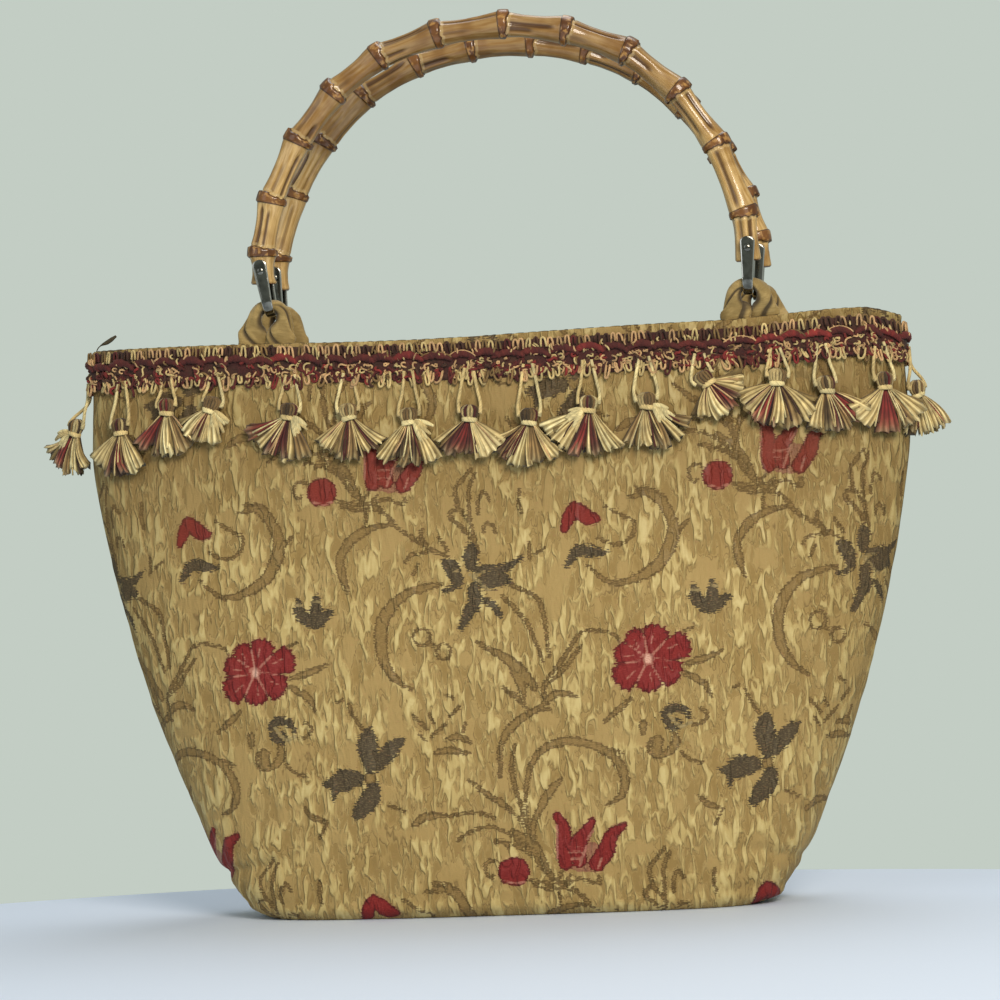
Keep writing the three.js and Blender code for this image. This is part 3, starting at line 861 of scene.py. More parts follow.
# %% Bamboo form
HANDLE_X, HANDLE_Y = 9, 27
HINGE_Z = 276
LEG_X = 108
BACK_SPLAY = 2.5  # by which each leg of the back handle stands further out
BACK_SINK = 1.8  # by which the top of the back handle stands lower
ARCH = np.array([  # half of the middle line: across from its middle, height, shares of splay and sinking
    (LEG_X, HINGE_Z + 7.5, 1, 0),
    (LEG_X, 295, 1, 0),
    (106.6, 306, 0.8, 0),
    (101, 325, 0.3, 0.1),
    (87.5, 350, 0, 0.4),
    (72, 368, 0, 0.7),
    (53.2, 381.4, 0, 0.9),
    (28.5, 390, 0, 1),
    (0, 393.3, 0, 1),
])
FRONT_JOINTS = [14, 38, 67, 93.5, 119.5, 147, 177, 205, 234, 262.5, 291.5, 324.5]  # along the middle line
BACK_JOINTS = [15, 45.5, 73, 101.5, 129.5, 156, 183.5, 209, 236, 263, 289, 311, 331]
CANE_STEP = 0.55  # between rows along a cane
CANE_SIDES = 44
CORNER = 1.5  # half length over which a joint's corner is rounded
RING_HALF = 2.0  # half width of a joint's ring
WAIST_R = 5.1
CHANNEL_DEPTH = 1.15
CHANNEL_SIDES = (-2.0, -1.1, 1.1, 2.0, 0.0, np.pi)  # angles round a cane; -pi/2 is the front


def arch_line(splay, sink):
    """The arch from its left to its right end: a cubic through the table, and the length along it."""
    half = ARCH[:, :2] + ARCH[:, 2:] * [splay, -sink]
    line = np.vstack([half * [-1, 1], half[-2::-1]])
    knots = np.r_[0, np.cumsum(np.linalg.norm(np.diff(line, axis=0), axis=1) ** 0.5)]
    fine = eased(np.linspace(0, knots[-1], 3000), knots, line)
    return fine, np.r_[0, np.cumsum(np.linalg.norm(np.diff(fine, axis=0), axis=1))]


def straight_canes(fine, run, stops):
    """The middle line with straight pieces between the joints: a polyline, averaged over each corner."""
    s = np.linspace(0, run[-1], int(run[-1] / CANE_STEP))
    corner = np.stack([np.interp(stops, run, fine[:, k]) for k in (0, 1)], 1)
    near = np.clip(s[:, None] + np.linspace(-CORNER, CORNER, 9), 0, run[-1])
    line = np.stack([np.interp(near, stops, corner[:, k]).mean(1) for k in (0, 1)], 1)
    line[[0, -1]] = corner[[0, -1]]
    return s, line


def cane(joints, splay, sink, seed):
    """Radius and colour values of a cane at every place along it and angle round it.

    Radius = waist, plus a flare towards the next joint, plus weak facets, minus channels that start behind
    a joint and run out, up to a flat-topped ring at each joint, minus a crack behind the ring's torn edge."""
    rng = np.random.default_rng(seed)
    joints = np.asarray(joints)
    fine, run = arch_line(splay, sink)
    stops = np.r_[0, joints, run[-1]]
    s, line = straight_canes(fine, run, stops)
    turn = np.linspace(0, 2 * np.pi, CANE_SIDES, endpoint=False)[None]
    bay = np.clip(np.searchsorted(stops, s, side="right") - 1, 0, len(stops) - 2)
    part = ((s - stops[bay]) / (stops[bay + 1] - stops[bay]))[:, None]
    nearest = np.argmin(np.abs(s[:, None] - joints), axis=1)
    off = (s - joints[nearest])[:, None]
    phase = rng.uniform(0, 2 * np.pi, (len(stops), 3))
    flare = np.where(bay < len(stops) - 2, 1.1, 0.6)[:, None]
    radius = WAIST_R + 0.65 * (1 - smooth(part, 0, 0.35)) + flare * smooth(part, 0.45, 1.0) ** 1.5
    radius = radius + 0.2 * np.cos(3 * turn + phase[bay, :1]) + 0.13 * np.cos(5 * turn + phase[bay, 1:2])
    channel = 0 * radius
    for facing in CHANNEL_SIDES:
        draw = rng.uniform(0, 1, (4, len(stops)))[:, bay, None]
        away = np.angle(np.exp(1j * (turn - facing - 0.9 * (draw[0] - 0.5)))) / (0.13 + 0.16 * draw[1])
        reach = 0.5 + 0.6 * draw[2]
        window = smooth(part, 0.05, 0.14) * (1 - smooth(part, reach - 0.25, reach))
        channel = np.maximum(channel, (0.25 + 0.75 * draw[3]) * window * np.exp(-(away**4)))
    radius -= CHANNEL_DEPTH * channel
    teeth = rng.uniform(-1, 1, (len(joints), CANE_SIDES // 2)).repeat(2, 1)[nearest]
    torn = RING_HALF + 0.6 * teeth
    ring = np.minimum(off + RING_HALF, torn - off)
    ring_radius = rng.uniform(6.65, 7.1, len(joints))[nearest][:, None]
    ring_radius = ring_radius + 0.2 * np.cos(turn - phase[nearest, 2:]) + 0.12 * teeth
    radius += (ring_radius - radius) * smooth(ring, -0.3, 0.45)
    radius -= 0.45 * np.exp(-(((off - torn - 0.35) / 0.35) ** 2))
    torn_edge = np.exp(-(((off - torn - 1.0) / 0.8) ** 2))
    return s, line, turn, radius, {"ring": ring, "channel": channel, "torn": torn_edge}


def bamboo(name, y, joints, splay, sink, material, body, stands_for, seed):
    """A cane carried along its line: point = line + radius (cos a * inward side + sin a * y). Cut ends are
    drawn in by a small bevel and closed by a flat face."""
    s, line, turn, radius, marks = cane(joints, splay, sink, seed)
    ends = [0.955, 0.9, 0.55]  # radius at the bevel, at the edge of the cut and inside it
    order = np.r_[[0] * len(ends), np.arange(1, len(s) - 1), [len(s) - 1] * len(ends)]
    shrink = np.r_[ends[::-1], np.ones(len(s) - 2), ends]
    push = np.r_[0, 0, 0.35, np.zeros(len(s) - 2), -0.35, 0, 0]
    cut = np.r_[1, 1, 0, np.zeros(len(s) - 2), 0, 1, 1]
    along = unit(np.gradient(line, axis=0))
    line = line[order] + along[order] * push[:, None]
    radius = radius[order] * shrink[:, None]
    side = radius * np.cos(turn)
    points = np.stack([
        HANDLE_X + line[:, :1] + side * along[order][:, 1:],
        y + radius * np.sin(turn),
        line[:, 1:] - side * along[order][:, :1],
    ], -1).reshape(-1, 3)
    rows = len(order)
    caps = np.stack([np.arange(CANE_SIDES)[::-1], np.arange(CANE_SIDES) + (rows - 1) * CANE_SIDES])
    blocks = turned_out(points, [grid_faces(rows, CANE_SIDES, close_columns=True), caps])
    values = {label: mark[order].ravel() for label, mark in marks.items()}
    values["cut"] = np.repeat(cut, CANE_SIDES)
    values["cane"] = np.stack([s[order][:, None] + 0 * side, side, radius * np.sin(turn)], -1).reshape(-1, 3)
    count = make_piece(name, points, blocks, values, [material], body, stands_for)
    print(name, count, "triangles, cane", round(s[-1], 1), "mm long")


# %% [markdown]
# ## Varnished bamboo
#
# Bamboo root is straw yellow with darker fibres along the cane, and browner near the top of the arch, where
# it was heated to bend it. Flame-browned rings have a burnt torn edge, and a clear varnish makes long soft
# highlights. The fibre noise is stretched along the cane.

# %% Varnished bamboo
FIBRE = (30, 1.1)  # length and width of a streak of fibre
CANE_MIDDLE = 173  # half of a cane's length
TOASTED = (130, 60)  # distances from the top of the arch between which the cane gets browner


def varnished_bamboo():
    """Gives the eye a warm glossy straw colour with fine streaks, brown joints and darker channels."""
    wood = bare_material("varnished bamboo root")
    place = node(wood, "ShaderNodeAttribute", attribute_name="cane").outputs["Vector"]
    sockets = {"Vector": place, "Scale": (1 / FIBRE[0], 1 / FIBRE[1], 1 / FIBRE[1])}
    along = node(wood, "ShaderNodeMapping", sockets).outputs[0]
    fibre = node(wood, "ShaderNodeTexNoise", {"Vector": along, "Scale": 1.0, "Detail": 4.0}).outputs[0]
    blotch = node(wood, "ShaderNodeTexNoise", {"Vector": place, "Scale": 0.07, "Detail": 2.0}).outputs[0]
    speck = node(wood, "ShaderNodeTexNoise", {"Vector": place, "Scale": 0.4, "Detail": 2.0}).outputs[0]
    marks = ("ring", "channel", "torn", "cut")
    marks = [node(wood, "ShaderNodeAttribute", attribute_name=label).outputs["Fac"] for label in marks]
    ring, channel, torn, cut = marks
    burnt = node(wood, "ShaderNodeMath", {0: ring}, operation="ABSOLUTE").outputs[0]
    ring_hue = painted(wood, linear("#7A5026"), [
        (blotch, 0.42, 0.62, 0.8, linear("#4A2911")),
        (speck, 0.5, 0.68, 0.85, linear("#B0854A")),
    ])
    length = node(wood, "ShaderNodeSeparateXYZ", {0: place}).outputs["X"]
    from_top = node(wood, "ShaderNodeMath", {0: length, 1: CANE_MIDDLE}, operation="SUBTRACT").outputs[0]
    from_top = node(wood, "ShaderNodeMath", {0: from_top}, operation="ABSOLUTE").outputs[0]
    colour = painted(wood, linear("#B08C50"), [
        (fibre, 0.35, 0.66, 1.0, linear("#D2B278")),
        (blotch, 0.46, 0.68, 0.7, linear("#8A6530")),
        (from_top, *TOASTED, 0.6, linear("#6A4418")),
        (channel, 0.15, 0.8, 0.9, linear("#4A2D0E")),
        (torn, 0.2, 0.9, 0.35, linear("#D6BE88")),
        (ring, -0.2, 0.15, 1.0, ring_hue),
        (burnt, 0.38, 0.05, 0.85, linear("#2C170A")),
        (cut, 0.0, 1.0, 1.0, linear("#7A4228")),
    ])
    gloss = node(wood, "ShaderNodeMapRange", {0: fibre, 1: 0.3, 2: 0.7, 3: 0.28, 4: 0.42}).outputs[0]
    bump = node(wood, "ShaderNodeBump", {"Height": fibre, "Strength": 0.3, "Distance": 0.0004}).outputs[0]
    shader = node(wood, "ShaderNodeBsdfPrincipled", {
        "Base Color": colour,
        "Roughness": gloss,
        "Specular IOR Level": 0.3,
        "Coat Weight": 0.6,
        "Coat Roughness": 0.1,
        "Normal": bump,
    })
    node(wood, "ShaderNodeOutputMaterial", {"Surface": shader.outputs[0]})
    return wood


root_bamboo = varnished_bamboo()
bamboo("bamboo_arch_front", -HANDLE_Y, FRONT_JOINTS, 0, 0, root_bamboo, "front_handle", ["bamboo_front"], 5)
bamboo(
    "bamboo_arch_back", HANDLE_Y, BACK_JOINTS, BACK_SPLAY, BACK_SINK, root_bamboo,
    "back_handle", ["bamboo_back"], 6,
)

# %% [markdown]
# ## Metal clips
#
# Each leg hangs in a strip of plated steel, bent into a U round the cloth loop and pinned through the
# cane. A bevelled box could be bent, but a rounded section carried along the U also gives the rounded tips.
# A clip can turn a little on its pin, so the bend of some clips is pulled to one side.

# %% Metal clips
STRIP = 1.2
CLIP_R = 6.9  # bend radius of the strip's middle
CLIP_UP = 18
PIN_UP, PIN_R, PIN_HALF = 13, 1.4, 8.2
STRIP_WIDTHS = [(0, 3.4), (9, 2.9), (CLIP_UP, 2.4), (CLIP_UP + CLIP_R * np.pi / 2, 2.0)]  # place, half width
TIP = 2.4  # length of a rounded tip
STRIP_SIDES, PIN_SIDES = 20, 16


def clip_strip(x, y, lean):
    """A rounded rectangle carried along the U: straight, half a circle, straight. Its width follows the
    table, and shrinks like a circle over each tip. The whole strip is turned about the pin by the lean."""
    length = 2 * CLIP_UP + np.pi * CLIP_R
    s = np.r_[TIP * (1 - np.cos(np.linspace(0.12, np.pi / 2, 7))), np.linspace(TIP, length - TIP, 70)[1:-1]]
    s = np.r_[s, length - s[6::-1]]
    bend = np.clip((s - CLIP_UP) / CLIP_R, 0, np.pi)
    rise = np.maximum(CLIP_UP - s, 0) + np.maximum(s - CLIP_UP - np.pi * CLIP_R, 0)
    line = np.stack([-CLIP_R * np.cos(bend), rise - CLIP_R * np.sin(bend)], 1)
    along = unit(np.gradient(line, s, axis=0))
    from_end = np.minimum(s, length - s)
    table = np.array(STRIP_WIDTHS)
    half = np.interp(from_end, table[:, 0], table[:, 1])
    half = half * np.sqrt(1 - (1 - np.clip(from_end / TIP, 0, 1)) ** 2)
    turn = np.linspace(0, 2 * np.pi, STRIP_SIDES, endpoint=False)
    wide = half[:, None] * np.sign(np.cos(turn)) * np.abs(np.cos(turn)) ** 0.5
    thick = np.sign(np.sin(turn)) * np.abs(np.sin(turn)) ** 0.85 * STRIP / 2
    above_pin = line[:, 1:] - thick * along[:, :1] - PIN_UP
    points = np.stack([
        x + wide * np.cos(lean) - above_pin * np.sin(lean),
        y + line[:, :1] + thick * along[:, 1:],
        HINGE_Z + PIN_UP + wide * np.sin(lean) + above_pin * np.cos(lean),
    ], -1).reshape(-1, 3)
    last = (len(s) - 1) * STRIP_SIDES
    caps = np.stack([np.arange(STRIP_SIDES)[::-1], np.arange(STRIP_SIDES) + last])
    # Painted highlight: edge is 1 along the strip's two long edges, where the material paints the steel nearly
    # white.
    edge = {"edge": np.tile(np.abs(np.cos(turn)) ** 3, len(s))}
    return points, turned_out(points, [grid_faces(len(s), STRIP_SIDES, close_columns=True), caps]), edge


def clip_pin(x, y):
    """A round pin with domed rivet heads: a profile of place along the pin and radius, spun about Y."""
    # Columns: below the top, radius.
    dome = [(0, 0.35), (0.1, 1.0), (0.4, 1.65), (0.75, 1.9), (0.8, 1.9), (0.85, PIN_R)]
    profile = np.array([(PIN_HALF - below, radius) for below, radius in dome])
    profile = np.vstack([profile, profile[::-1] * [-1, 1]])
    turn = np.linspace(0, 2 * np.pi, PIN_SIDES, endpoint=False)
    points = np.stack([
        x + profile[:, 1:] * np.cos(turn),
        y + profile[:, :1] + 0 * turn,
        HINGE_Z + PIN_UP + profile[:, 1:] * np.sin(turn),
    ], -1).reshape(-1, 3)
    last = (len(profile) - 1) * PIN_SIDES
    caps = np.stack([np.arange(PIN_SIDES)[::-1], np.arange(PIN_SIDES) + last])
    edge = {"edge": np.zeros(len(points))}
    return points, turned_out(points, [grid_faces(len(profile), PIN_SIDES, close_columns=True), caps]), edge


def plated_steel():
    """Gives the eye a dark mirror with slightly brushed, worn patches and a painted highlight along the
    strip's edges.
    """
    metal = bare_material("nickel-plated strip steel")
    place = node(metal, "ShaderNodeTexCoord").outputs["Object"]
    worn = node(metal, "ShaderNodeTexNoise", {"Vector": place, "Scale": 260.0, "Detail": 3.0}).outputs[0]
    gloss = node(metal, "ShaderNodeMapRange", {0: worn, 1: 0.35, 2: 0.7, 3: 0.08, 4: 0.2}).outputs[0]
    edge = node(metal, "ShaderNodeAttribute", attribute_name="edge").outputs["Fac"]
    colour = painted(metal, linear("#82827A"), [
        (worn, 0.4, 0.7, 1.0, linear("#5C5C56")),
        # Painted highlight along the strip's edges.
        (edge, 0.2, 0.65, 1.0, linear("#F4F2EA")),
    ])
    shader = node(metal, "ShaderNodeBsdfPrincipled", {
        "Base Color": colour,
        "Metallic": 1.0,
        "Roughness": gloss,
    })
    node(metal, "ShaderNodeOutputMaterial", {"Surface": shader.outputs[0]})
    return metal


steel = plated_steel()
CORNERS = [  # face, side, place across, place from front to back, lean of the clip in degrees
    ("front", "left", HANDLE_X - LEG_X, -HANDLE_Y, 9),
    ("front", "right", HANDLE_X + LEG_X, -HANDLE_Y, -2),
    ("back", "left", HANDLE_X - LEG_X - BACK_SPLAY, HANDLE_Y, 4),
    ("back", "right", HANDLE_X + LEG_X + BACK_SPLAY, HANDLE_Y, -3),
]
for face, side, x, y, lean in CORNERS:
    points, blocks, values = joined([clip_strip(x, y, np.radians(lean)), clip_pin(x, y)])
    node_name = f"clip_{face}_{side}"
    count = make_piece(
        f"hook_{face}_{side}", points, blocks, values, [steel], f"{face}_handle", [node_name]
    )
print("4 hooks,", count, "triangles each")

# %% [markdown]
# ## Cloth loops
#
# Four short tubes of plain cloth carry the clips. Both feet of a tube are sewn inside the rim. A tube of
# cloth that turns sharply twists and creases, so the section gets slanting folds that wind along it, with
# a raised edge beside each fold. The top of a loop follows the bend of its clip to the side.

# %% Cloth loops
LOOP = np.array([  # across from the leg, height, half thickness, half depth, from wall (0) to clip (1)
    (6.2, 246, 6.5, 1.8, 0),
    (6.4, 258, 6.6, 2.2, 0.15),
    (6.5, 262.5, 6.0, 2.6, 0.6),
    (6.9, 266.5, 3.7, 2.9, 1),
    (5.8, 270.8, 2.9, 3.5, 1),
    (3.3, 273.2, 2.7, 4.1, 1),
    (0, 273.5, 2.6, 4.1, 1),
])
LOOP_STEPS, LOOP_SIDES = 120, 40
FOLD_DEPTH = 0.3  # of the section's radius
EYE = (259, 265)  # heights between which a loop opens, where the side facing its eye gets painted shade


def cloth_loop(x, y, lean, seed):
    """An oval section carried up from one foot, through the clip and down to the other.

    The section's radius is 1 plus two waves that wind round it, minus narrow slanting creases, plus the
    raised edge of each crease. Creases and the side towards the loop's eye are stored for painted shade."""
    rng = np.random.default_rng(seed)
    rows = np.vstack([LOOP * [-1, 1, 1, 1, 1], LOOP[-2::-1]])
    w, d, _ = section_at(np.minimum(rows[:, 1], RIM))
    inside = np.sqrt(1 - ((np.abs(x + rows[:, 0]) + rows[:, 2]) / w) ** 2)
    wall = np.sign(y) * (d * inside - WALL - 0.3 - rows[:, 3])
    pulled = x + rows[:, 0] + (PIN_UP + 2) * np.sin(lean) * smooth(rows[:, 1], 255, 273)
    place = np.stack([pulled, wall + (y - wall) * rows[:, 4], rows[:, 1]], 1)
    knots = np.r_[0, np.cumsum(np.linalg.norm(np.diff(place, axis=0), axis=1))]
    s = np.linspace(0, knots[-1], LOOP_STEPS)
    line = eased(s, knots, place)
    thick, deep = eased(s, knots, rows[:, 2:4]).T[:, :, None]
    along = unit(np.gradient(line[:, [0, 2]], axis=0))
    turn = np.linspace(0, 2 * np.pi, LOOP_SIDES, endpoint=False)
    way = s[:, None]
    wind = turn - 0.15 * way * np.sign(x)
    swell = 1 + 0.06 * np.sin(2 * wind + rng.uniform(0, 6)) + 0.04 * np.sin(5 * wind + rng.uniform(0, 6))
    fold = 0 * swell
    for start in np.arange(2) * 2.6 + rng.uniform(0, 1.2, 2):
        away = np.angle(np.exp(1j * (wind - start - 0.3 * np.sin(0.3 * way))))
        free = 1 - 0.75 * np.exp(-(((way - s[-1] / 2) / 5) ** 2))
        fold = np.maximum(fold, free * np.exp(-((away / 0.26) ** 2)))
        swell += 0.12 * free * np.exp(-(((away - 0.42) / 0.2) ** 2))
    swell -= FOLD_DEPTH * fold
    across = thick * swell * np.cos(turn)
    points = np.stack([
        line[:, :1] + across * along[:, 1:],
        line[:, 1:2] + deep * swell * np.sin(turn),
        line[:, 2:] - across * along[:, :1],
    ], -1).reshape(-1, 3)
    last = (LOOP_STEPS - 1) * LOOP_SIDES
    caps = np.stack([np.arange(LOOP_SIDES)[::-1], np.arange(LOOP_SIDES) + last])
    blocks = turned_out(points, [grid_faces(LOOP_STEPS, LOOP_SIDES, close_columns=True), caps])
    tube = np.stack([way + 0 * turn, 3.4 * np.cos(wind), 3.4 * np.sin(wind)], -1).reshape(-1, 3)
    # Painted shade: the stored fold value darkens the creases and the side of the section that faces the
    # loop's eye.
    inner = smooth(np.cos(turn), 0.1, 0.9) * smooth(line[:, 2:], *EYE)
    return points, blocks, {"fold": np.maximum(fold, 0.8 * inner).ravel(), "tube": tube}


def loop_cloth_material():
    """Gives the eye matt tan cloth with a fine slanting weave, and painted shade in its creases and towards
    its eye.
    """
    cloth = bare_material("tan ribbed cloth")
    place = node(cloth, "ShaderNodeAttribute", attribute_name="tube").outputs["Vector"]
    scale = (1 / 0.5, 1 / 2.2, 1 / 2.2)
    ribs = node(cloth, "ShaderNodeMapping", {"Vector": place, "Scale": scale}).outputs[0]
    weave = node(cloth, "ShaderNodeTexNoise", {"Vector": ribs, "Scale": 1.0, "Detail": 2.0}).outputs[0]
    fold = node(cloth, "ShaderNodeAttribute", attribute_name="fold").outputs["Fac"]
    worn = node(cloth, "ShaderNodeTexNoise", {"Vector": place, "Scale": 0.16, "Detail": 2.0}).outputs[0]
    colour = painted(cloth, linear("#9A814B"), [
        (weave, 0.35, 0.65, 0.4, linear("#B8A066")),
        (worn, 0.45, 0.62, 0.55, linear("#74602F")),
        # Painted shade in the creases and on the side towards the loop's eye.
        (fold, 0.15, 0.85, 0.9, linear("#352710")),
    ])
    bump = node(cloth, "ShaderNodeBump", {"Height": weave, "Strength": 0.35, "Distance": 0.0004}).outputs[0]
    shader = node(cloth, "ShaderNodeBsdfPrincipled", {
        "Base Color": colour,
        "Roughness": 0.75,
        "Sheen Weight": 0.2,
        "Normal": bump,
    })
    node(cloth, "ShaderNodeOutputMaterial", {"Surface": shader.outputs[0]})
    return cloth


tan_cloth = loop_cloth_material()
for k, (face, side, x, y, lean) in enumerate(CORNERS):
    points, blocks, values = cloth_loop(x, y, np.radians(lean), 70 + k)
    node_name = f"loop_{face}_{side}"
    name = f"tab_{face}_{side}"
    count = make_piece(name, points, blocks, values, [tan_cloth], "bag", [node_name])
print("4 tabs,", count, "triangles each")

# %% [markdown]
# ## Yarn
#
# Braid and tassels are made of hundreds of yarn ends. A hair system would draw them only in Blender, so each
# yarn is a thin tube instead. All the tubes of a group are swept at once: their middle lines are one
# array of strands, points and coordinates. Every point carries its yarn's colour and its place on the
# unrolled yarn, which winds so that the fibres look twisted.

# %% Yarn
FIBRES = 1.1  # fibres for each radian round a yarn, drawn coarser than real ones
TWIST = 1.4  # how fast the fibres wind, in fibres for each millimetre
YARN = {  # letter of a dyed yarn, its colour
    "c": "#CDB67C",  # cream
    "p": "#DECD94",  # pale cream
    "f": "#C8A272",  # pinkish cream
    "o": "#876B3F",  # olive
    "d": "#523E21",  # dark olive
    "r": "#7C2620",  # red
    "k": "#541C15",  # dark red
    "b": "#4A2C1C",  # brown
}
DYES = {letter: np.array(linear(colour)) for letter, colour in YARN.items()}


def tubes(points, hues, lay):
    """Many closed tubes at once, from points by tube, step along it and place round it."""
    count, steps, sides = points.shape[:3]
    index = np.arange(count * steps * sides).reshape(count, steps, sides)
    after = np.roll(index, -1, 2)
    walls = np.stack([index[:, :-1], index[:, 1:], after[:, 1:], after[:, :-1]], -1).reshape(-1, 4)
    points = points.reshape(-1, 3)
    blocks = turned_out(points, [walls, index[:, 0], index[:, -1, ::-1]])
    hues = np.broadcast_to(hues, (count, steps, sides, 4)).reshape(-1, 4)
    return points, blocks, {"yarn": hues, "lay": lay.reshape(-1, 3)}


def strands(lines, radius, facing, hues, sides=5, flat=1.0):
    """Round sections carried along many lines at once.

    Point = line + radius (cos a * side + flat sin a * lift). Side is the line's direction crossed with the
    facing direction, and lift is square to both."""
    count, steps = lines.shape[:2]
    along = unit(np.gradient(lines, axis=1))
    side = unit(np.cross(along, np.broadcast_to(facing, lines.shape)))
    lift = np.cross(side, along)
    turn = np.linspace(0, 2 * np.pi, sides, endpoint=False)
    ring = np.cos(turn)[:, None] * side[:, :, None] + flat * np.sin(turn)[:, None] * lift[:, :, None]
    size = np.broadcast_to(radius, (count, steps))[..., None, None]
    run = np.linalg.norm(np.diff(lines, axis=1, prepend=lines[:, :1]), axis=2).cumsum(1)[..., None]
    own = 31.0 * np.arange(count)[:, None, None]
    lay = np.stack([FIBRES * turn + TWIST * run + own, 0.25 * run + own + 0 * turn, own + 0 * run * turn], -1)
    return tubes(lines[:, :, None] + size * ring, np.broadcast_to(hues, (count, steps, 4))[:, :, None], lay)


def picked(rng, count, letters):
    """A colour for each of many strands, drawn from a string of yarn letters, a little lighter or darker."""
    chosen = np.stack([DYES[letter] for letter in rng.choice(list(letters), count)])
    return (chosen * rng.uniform(0.8, 1.12, (count, 1)))[:, None]


def yarn_material(name, sheen):
    """Gives the eye soft matt yarn: its stored colour, lighter and darker from fibre to fibre."""
    yarn = bare_material(name)
    lay = node(yarn, "ShaderNodeAttribute", attribute_name="lay").outputs["Vector"]
    place = node(yarn, "ShaderNodeTexCoord").outputs["Object"]
    fibre = node(yarn, "ShaderNodeTexNoise", {"Vector": lay, "Scale": 1.0, "Detail": 2.0}).outputs[0]
    cloud = node(yarn, "ShaderNodeTexNoise", {"Vector": place, "Scale": 220.0, "Detail": 2.0}).outputs[0]
    both = node(yarn, "ShaderNodeMath", {0: fibre, 1: cloud}, operation="ADD").outputs[0]
    shade = node(yarn, "ShaderNodeMapRange", {0: both, 1: 0.7, 2: 1.3, 3: 0.5, 4: 1.22}).outputs[0]
    dyed = node(yarn, "ShaderNodeAttribute", attribute_name="yarn").outputs["Color"]
    sockets = {0: 1.0, A: dyed, B: shade}
    colour = node(yarn, "ShaderNodeMix", sockets, data_type="RGBA", blend_type="MULTIPLY").outputs[MIXED]
    bump = node(yarn, "ShaderNodeBump", {"Height": fibre, "Strength": 0.6, "Distance": 0.0005}).outputs[0]
    shader = node(yarn, "ShaderNodeBsdfPrincipled", {
        "Base Color": colour,
        "Roughness": 0.85,
        "Sheen Weight": sheen,
        "Normal": bump,
    })
    node(yarn, "ShaderNodeOutputMaterial", {"Surface": shader.outputs[0]})
    return yarn


wool = yarn_material("rayon braid yarn", 0.05)
floss = yarn_material("cut rayon floss", 0.1)
print("yarn colours", len(YARN))

# %% [markdown]
# ## The braid
#
# The heading of the fringe has several layers. A dark tape is sewn to the cloth. Along its top runs a row of
# small upright loops, below them a thick red chenille cord in scallops, and below that a tangle of
# cream and red yarn that ends in hanging loops. All of it is laid out flat, as a distance round the rim,
# a distance below the braid's edge and a distance out from the cloth. One function then wraps it onto the
# wall.

# %% The braid on the wall
BRAID_TOP = 256.5
round_angle = np.linspace(-np.pi / 2, 3 * np.pi / 2, 4001)
round_x, round_y = outline(246 + 0 * round_angle, round_angle)
round_run = np.r_[0, np.cumsum(np.hypot(np.diff(round_x), np.diff(round_y)))]
RIM_LENGTH = round_run[-1]


def on_wall(around, z, out):
    """Wraps flat places onto the wall. Around is the distance from the middle of the front to the right."""
    angle = np.interp(around % RIM_LENGTH, round_run, round_angle)
    x, y = outline(z, angle)
    w, d, _ = section_at(z)
    normal = unit(np.stack([np.cos(angle) / w, np.sin(angle) / d], -1))
    x, y = x + out * normal[..., 0], y + out * normal[..., 1]
    return np.stack([x, y, z + rim_lift(x, z)], -1), np.concatenate([normal, 0 * normal[..., :1]], -1)


def braid_top(around):
    """Height of the braid's upper edge: level with the rim at the left, lower at the right."""
    angle = np.interp(around % RIM_LENGTH, round_run, round_angle)
    return BRAID_TOP + 0.8 - 2.4 * smooth(np.cos(angle), -0.75, 0.55)


def wrapped(around, below, out, radius, hues, sides=5, flat=1.0):
    """Strands from flat places: distance round the rim, distance below the braid's edge, distance out."""
    line, normal = on_wall(around, braid_top(around) - below, out)
    return strands(line, radius, normal, hues, sides, flat)


print("rim", round(RIM_LENGTH), "mm round")

# %% Layers of the braid
TAPE = np.array([  # below the edge and distance out, once round the section of the tape
    (0.8, 0.35), (0.8, 0.9), (4, 1.2), (8, 1.4), (12, 1.4), (16, 1.2), (17.5, 0.9), (17.5, 0.35), (9, 0.35),
])
TAPE_STEPS = 480
ARCH_PITCH = 3.3  # from one upright loop to the next
SCALLOP_PITCH = 11.2


def braid_tape():
    """The backing tape: its closed section carried round the rim, mottled dark red and brown, its dyes
    darkened further as painted shade behind the yarns.
    """
    around = np.linspace(0, RIM_LENGTH, TAPE_STEPS, endpoint=False)[:, None] + 0 * TAPE[:, 0]
    below = TAPE[:, 0] + 0 * around
    out = TAPE[:, 1] + 0.25 * (TAPE[:, 1] > 0.8) * soft_noise(around, below, (3, 3), 3)
    points = on_wall(around, braid_top(around) - below, out)[0].reshape(-1, 3)
    mix = smooth(soft_noise(around, below, (6, 4), 4), -0.4, 0.4)[..., None]
    # Partly the tape's own dark dyes, partly painted shade: the dyes are taken at 0.6 and 0.7.
    hues = (DYES["k"] * 0.6 * mix + DYES["b"] * 0.7 * (1 - mix)).reshape(-1, 4)
    lay = np.stack([around, below, 0 * around], -1).reshape(-1, 3)
    faces = grid_faces(TAPE_STEPS, len(TAPE), close_rows=True, close_columns=True)
    return points, turned_out(points, [faces]), {"yarn": hues, "lay": lay}


def upright_loops(rng):
    """The row of small arches: each goes up, over and down again, leans a little and varies in height."""
    count = int(RIM_LENGTH / ARCH_PITCH)
    t = np.linspace(-1, 1, 9)
    middle = (np.arange(count)[:, None] + rng.uniform(-0.22, 0.22, (count, 1))) * RIM_LENGTH / count
    tall, lean = rng.uniform(3.4, 5.2, (count, 1)), rng.normal(0, 0.4, (count, 1))
    around = middle + rng.uniform(0.85, 1.25, (count, 1)) * np.sin(np.pi / 2 * t) + lean * (1 - t**2)
    below = rng.uniform(0, 0.7, (count, 1)) + tall * np.abs(t) ** 2.6
    out = 1.7 + rng.uniform(0, 0.5, (count, 1)) + 0.3 * t
    return wrapped(around, below, out, 0.54, picked(rng, count, "ccoofffbbk"))


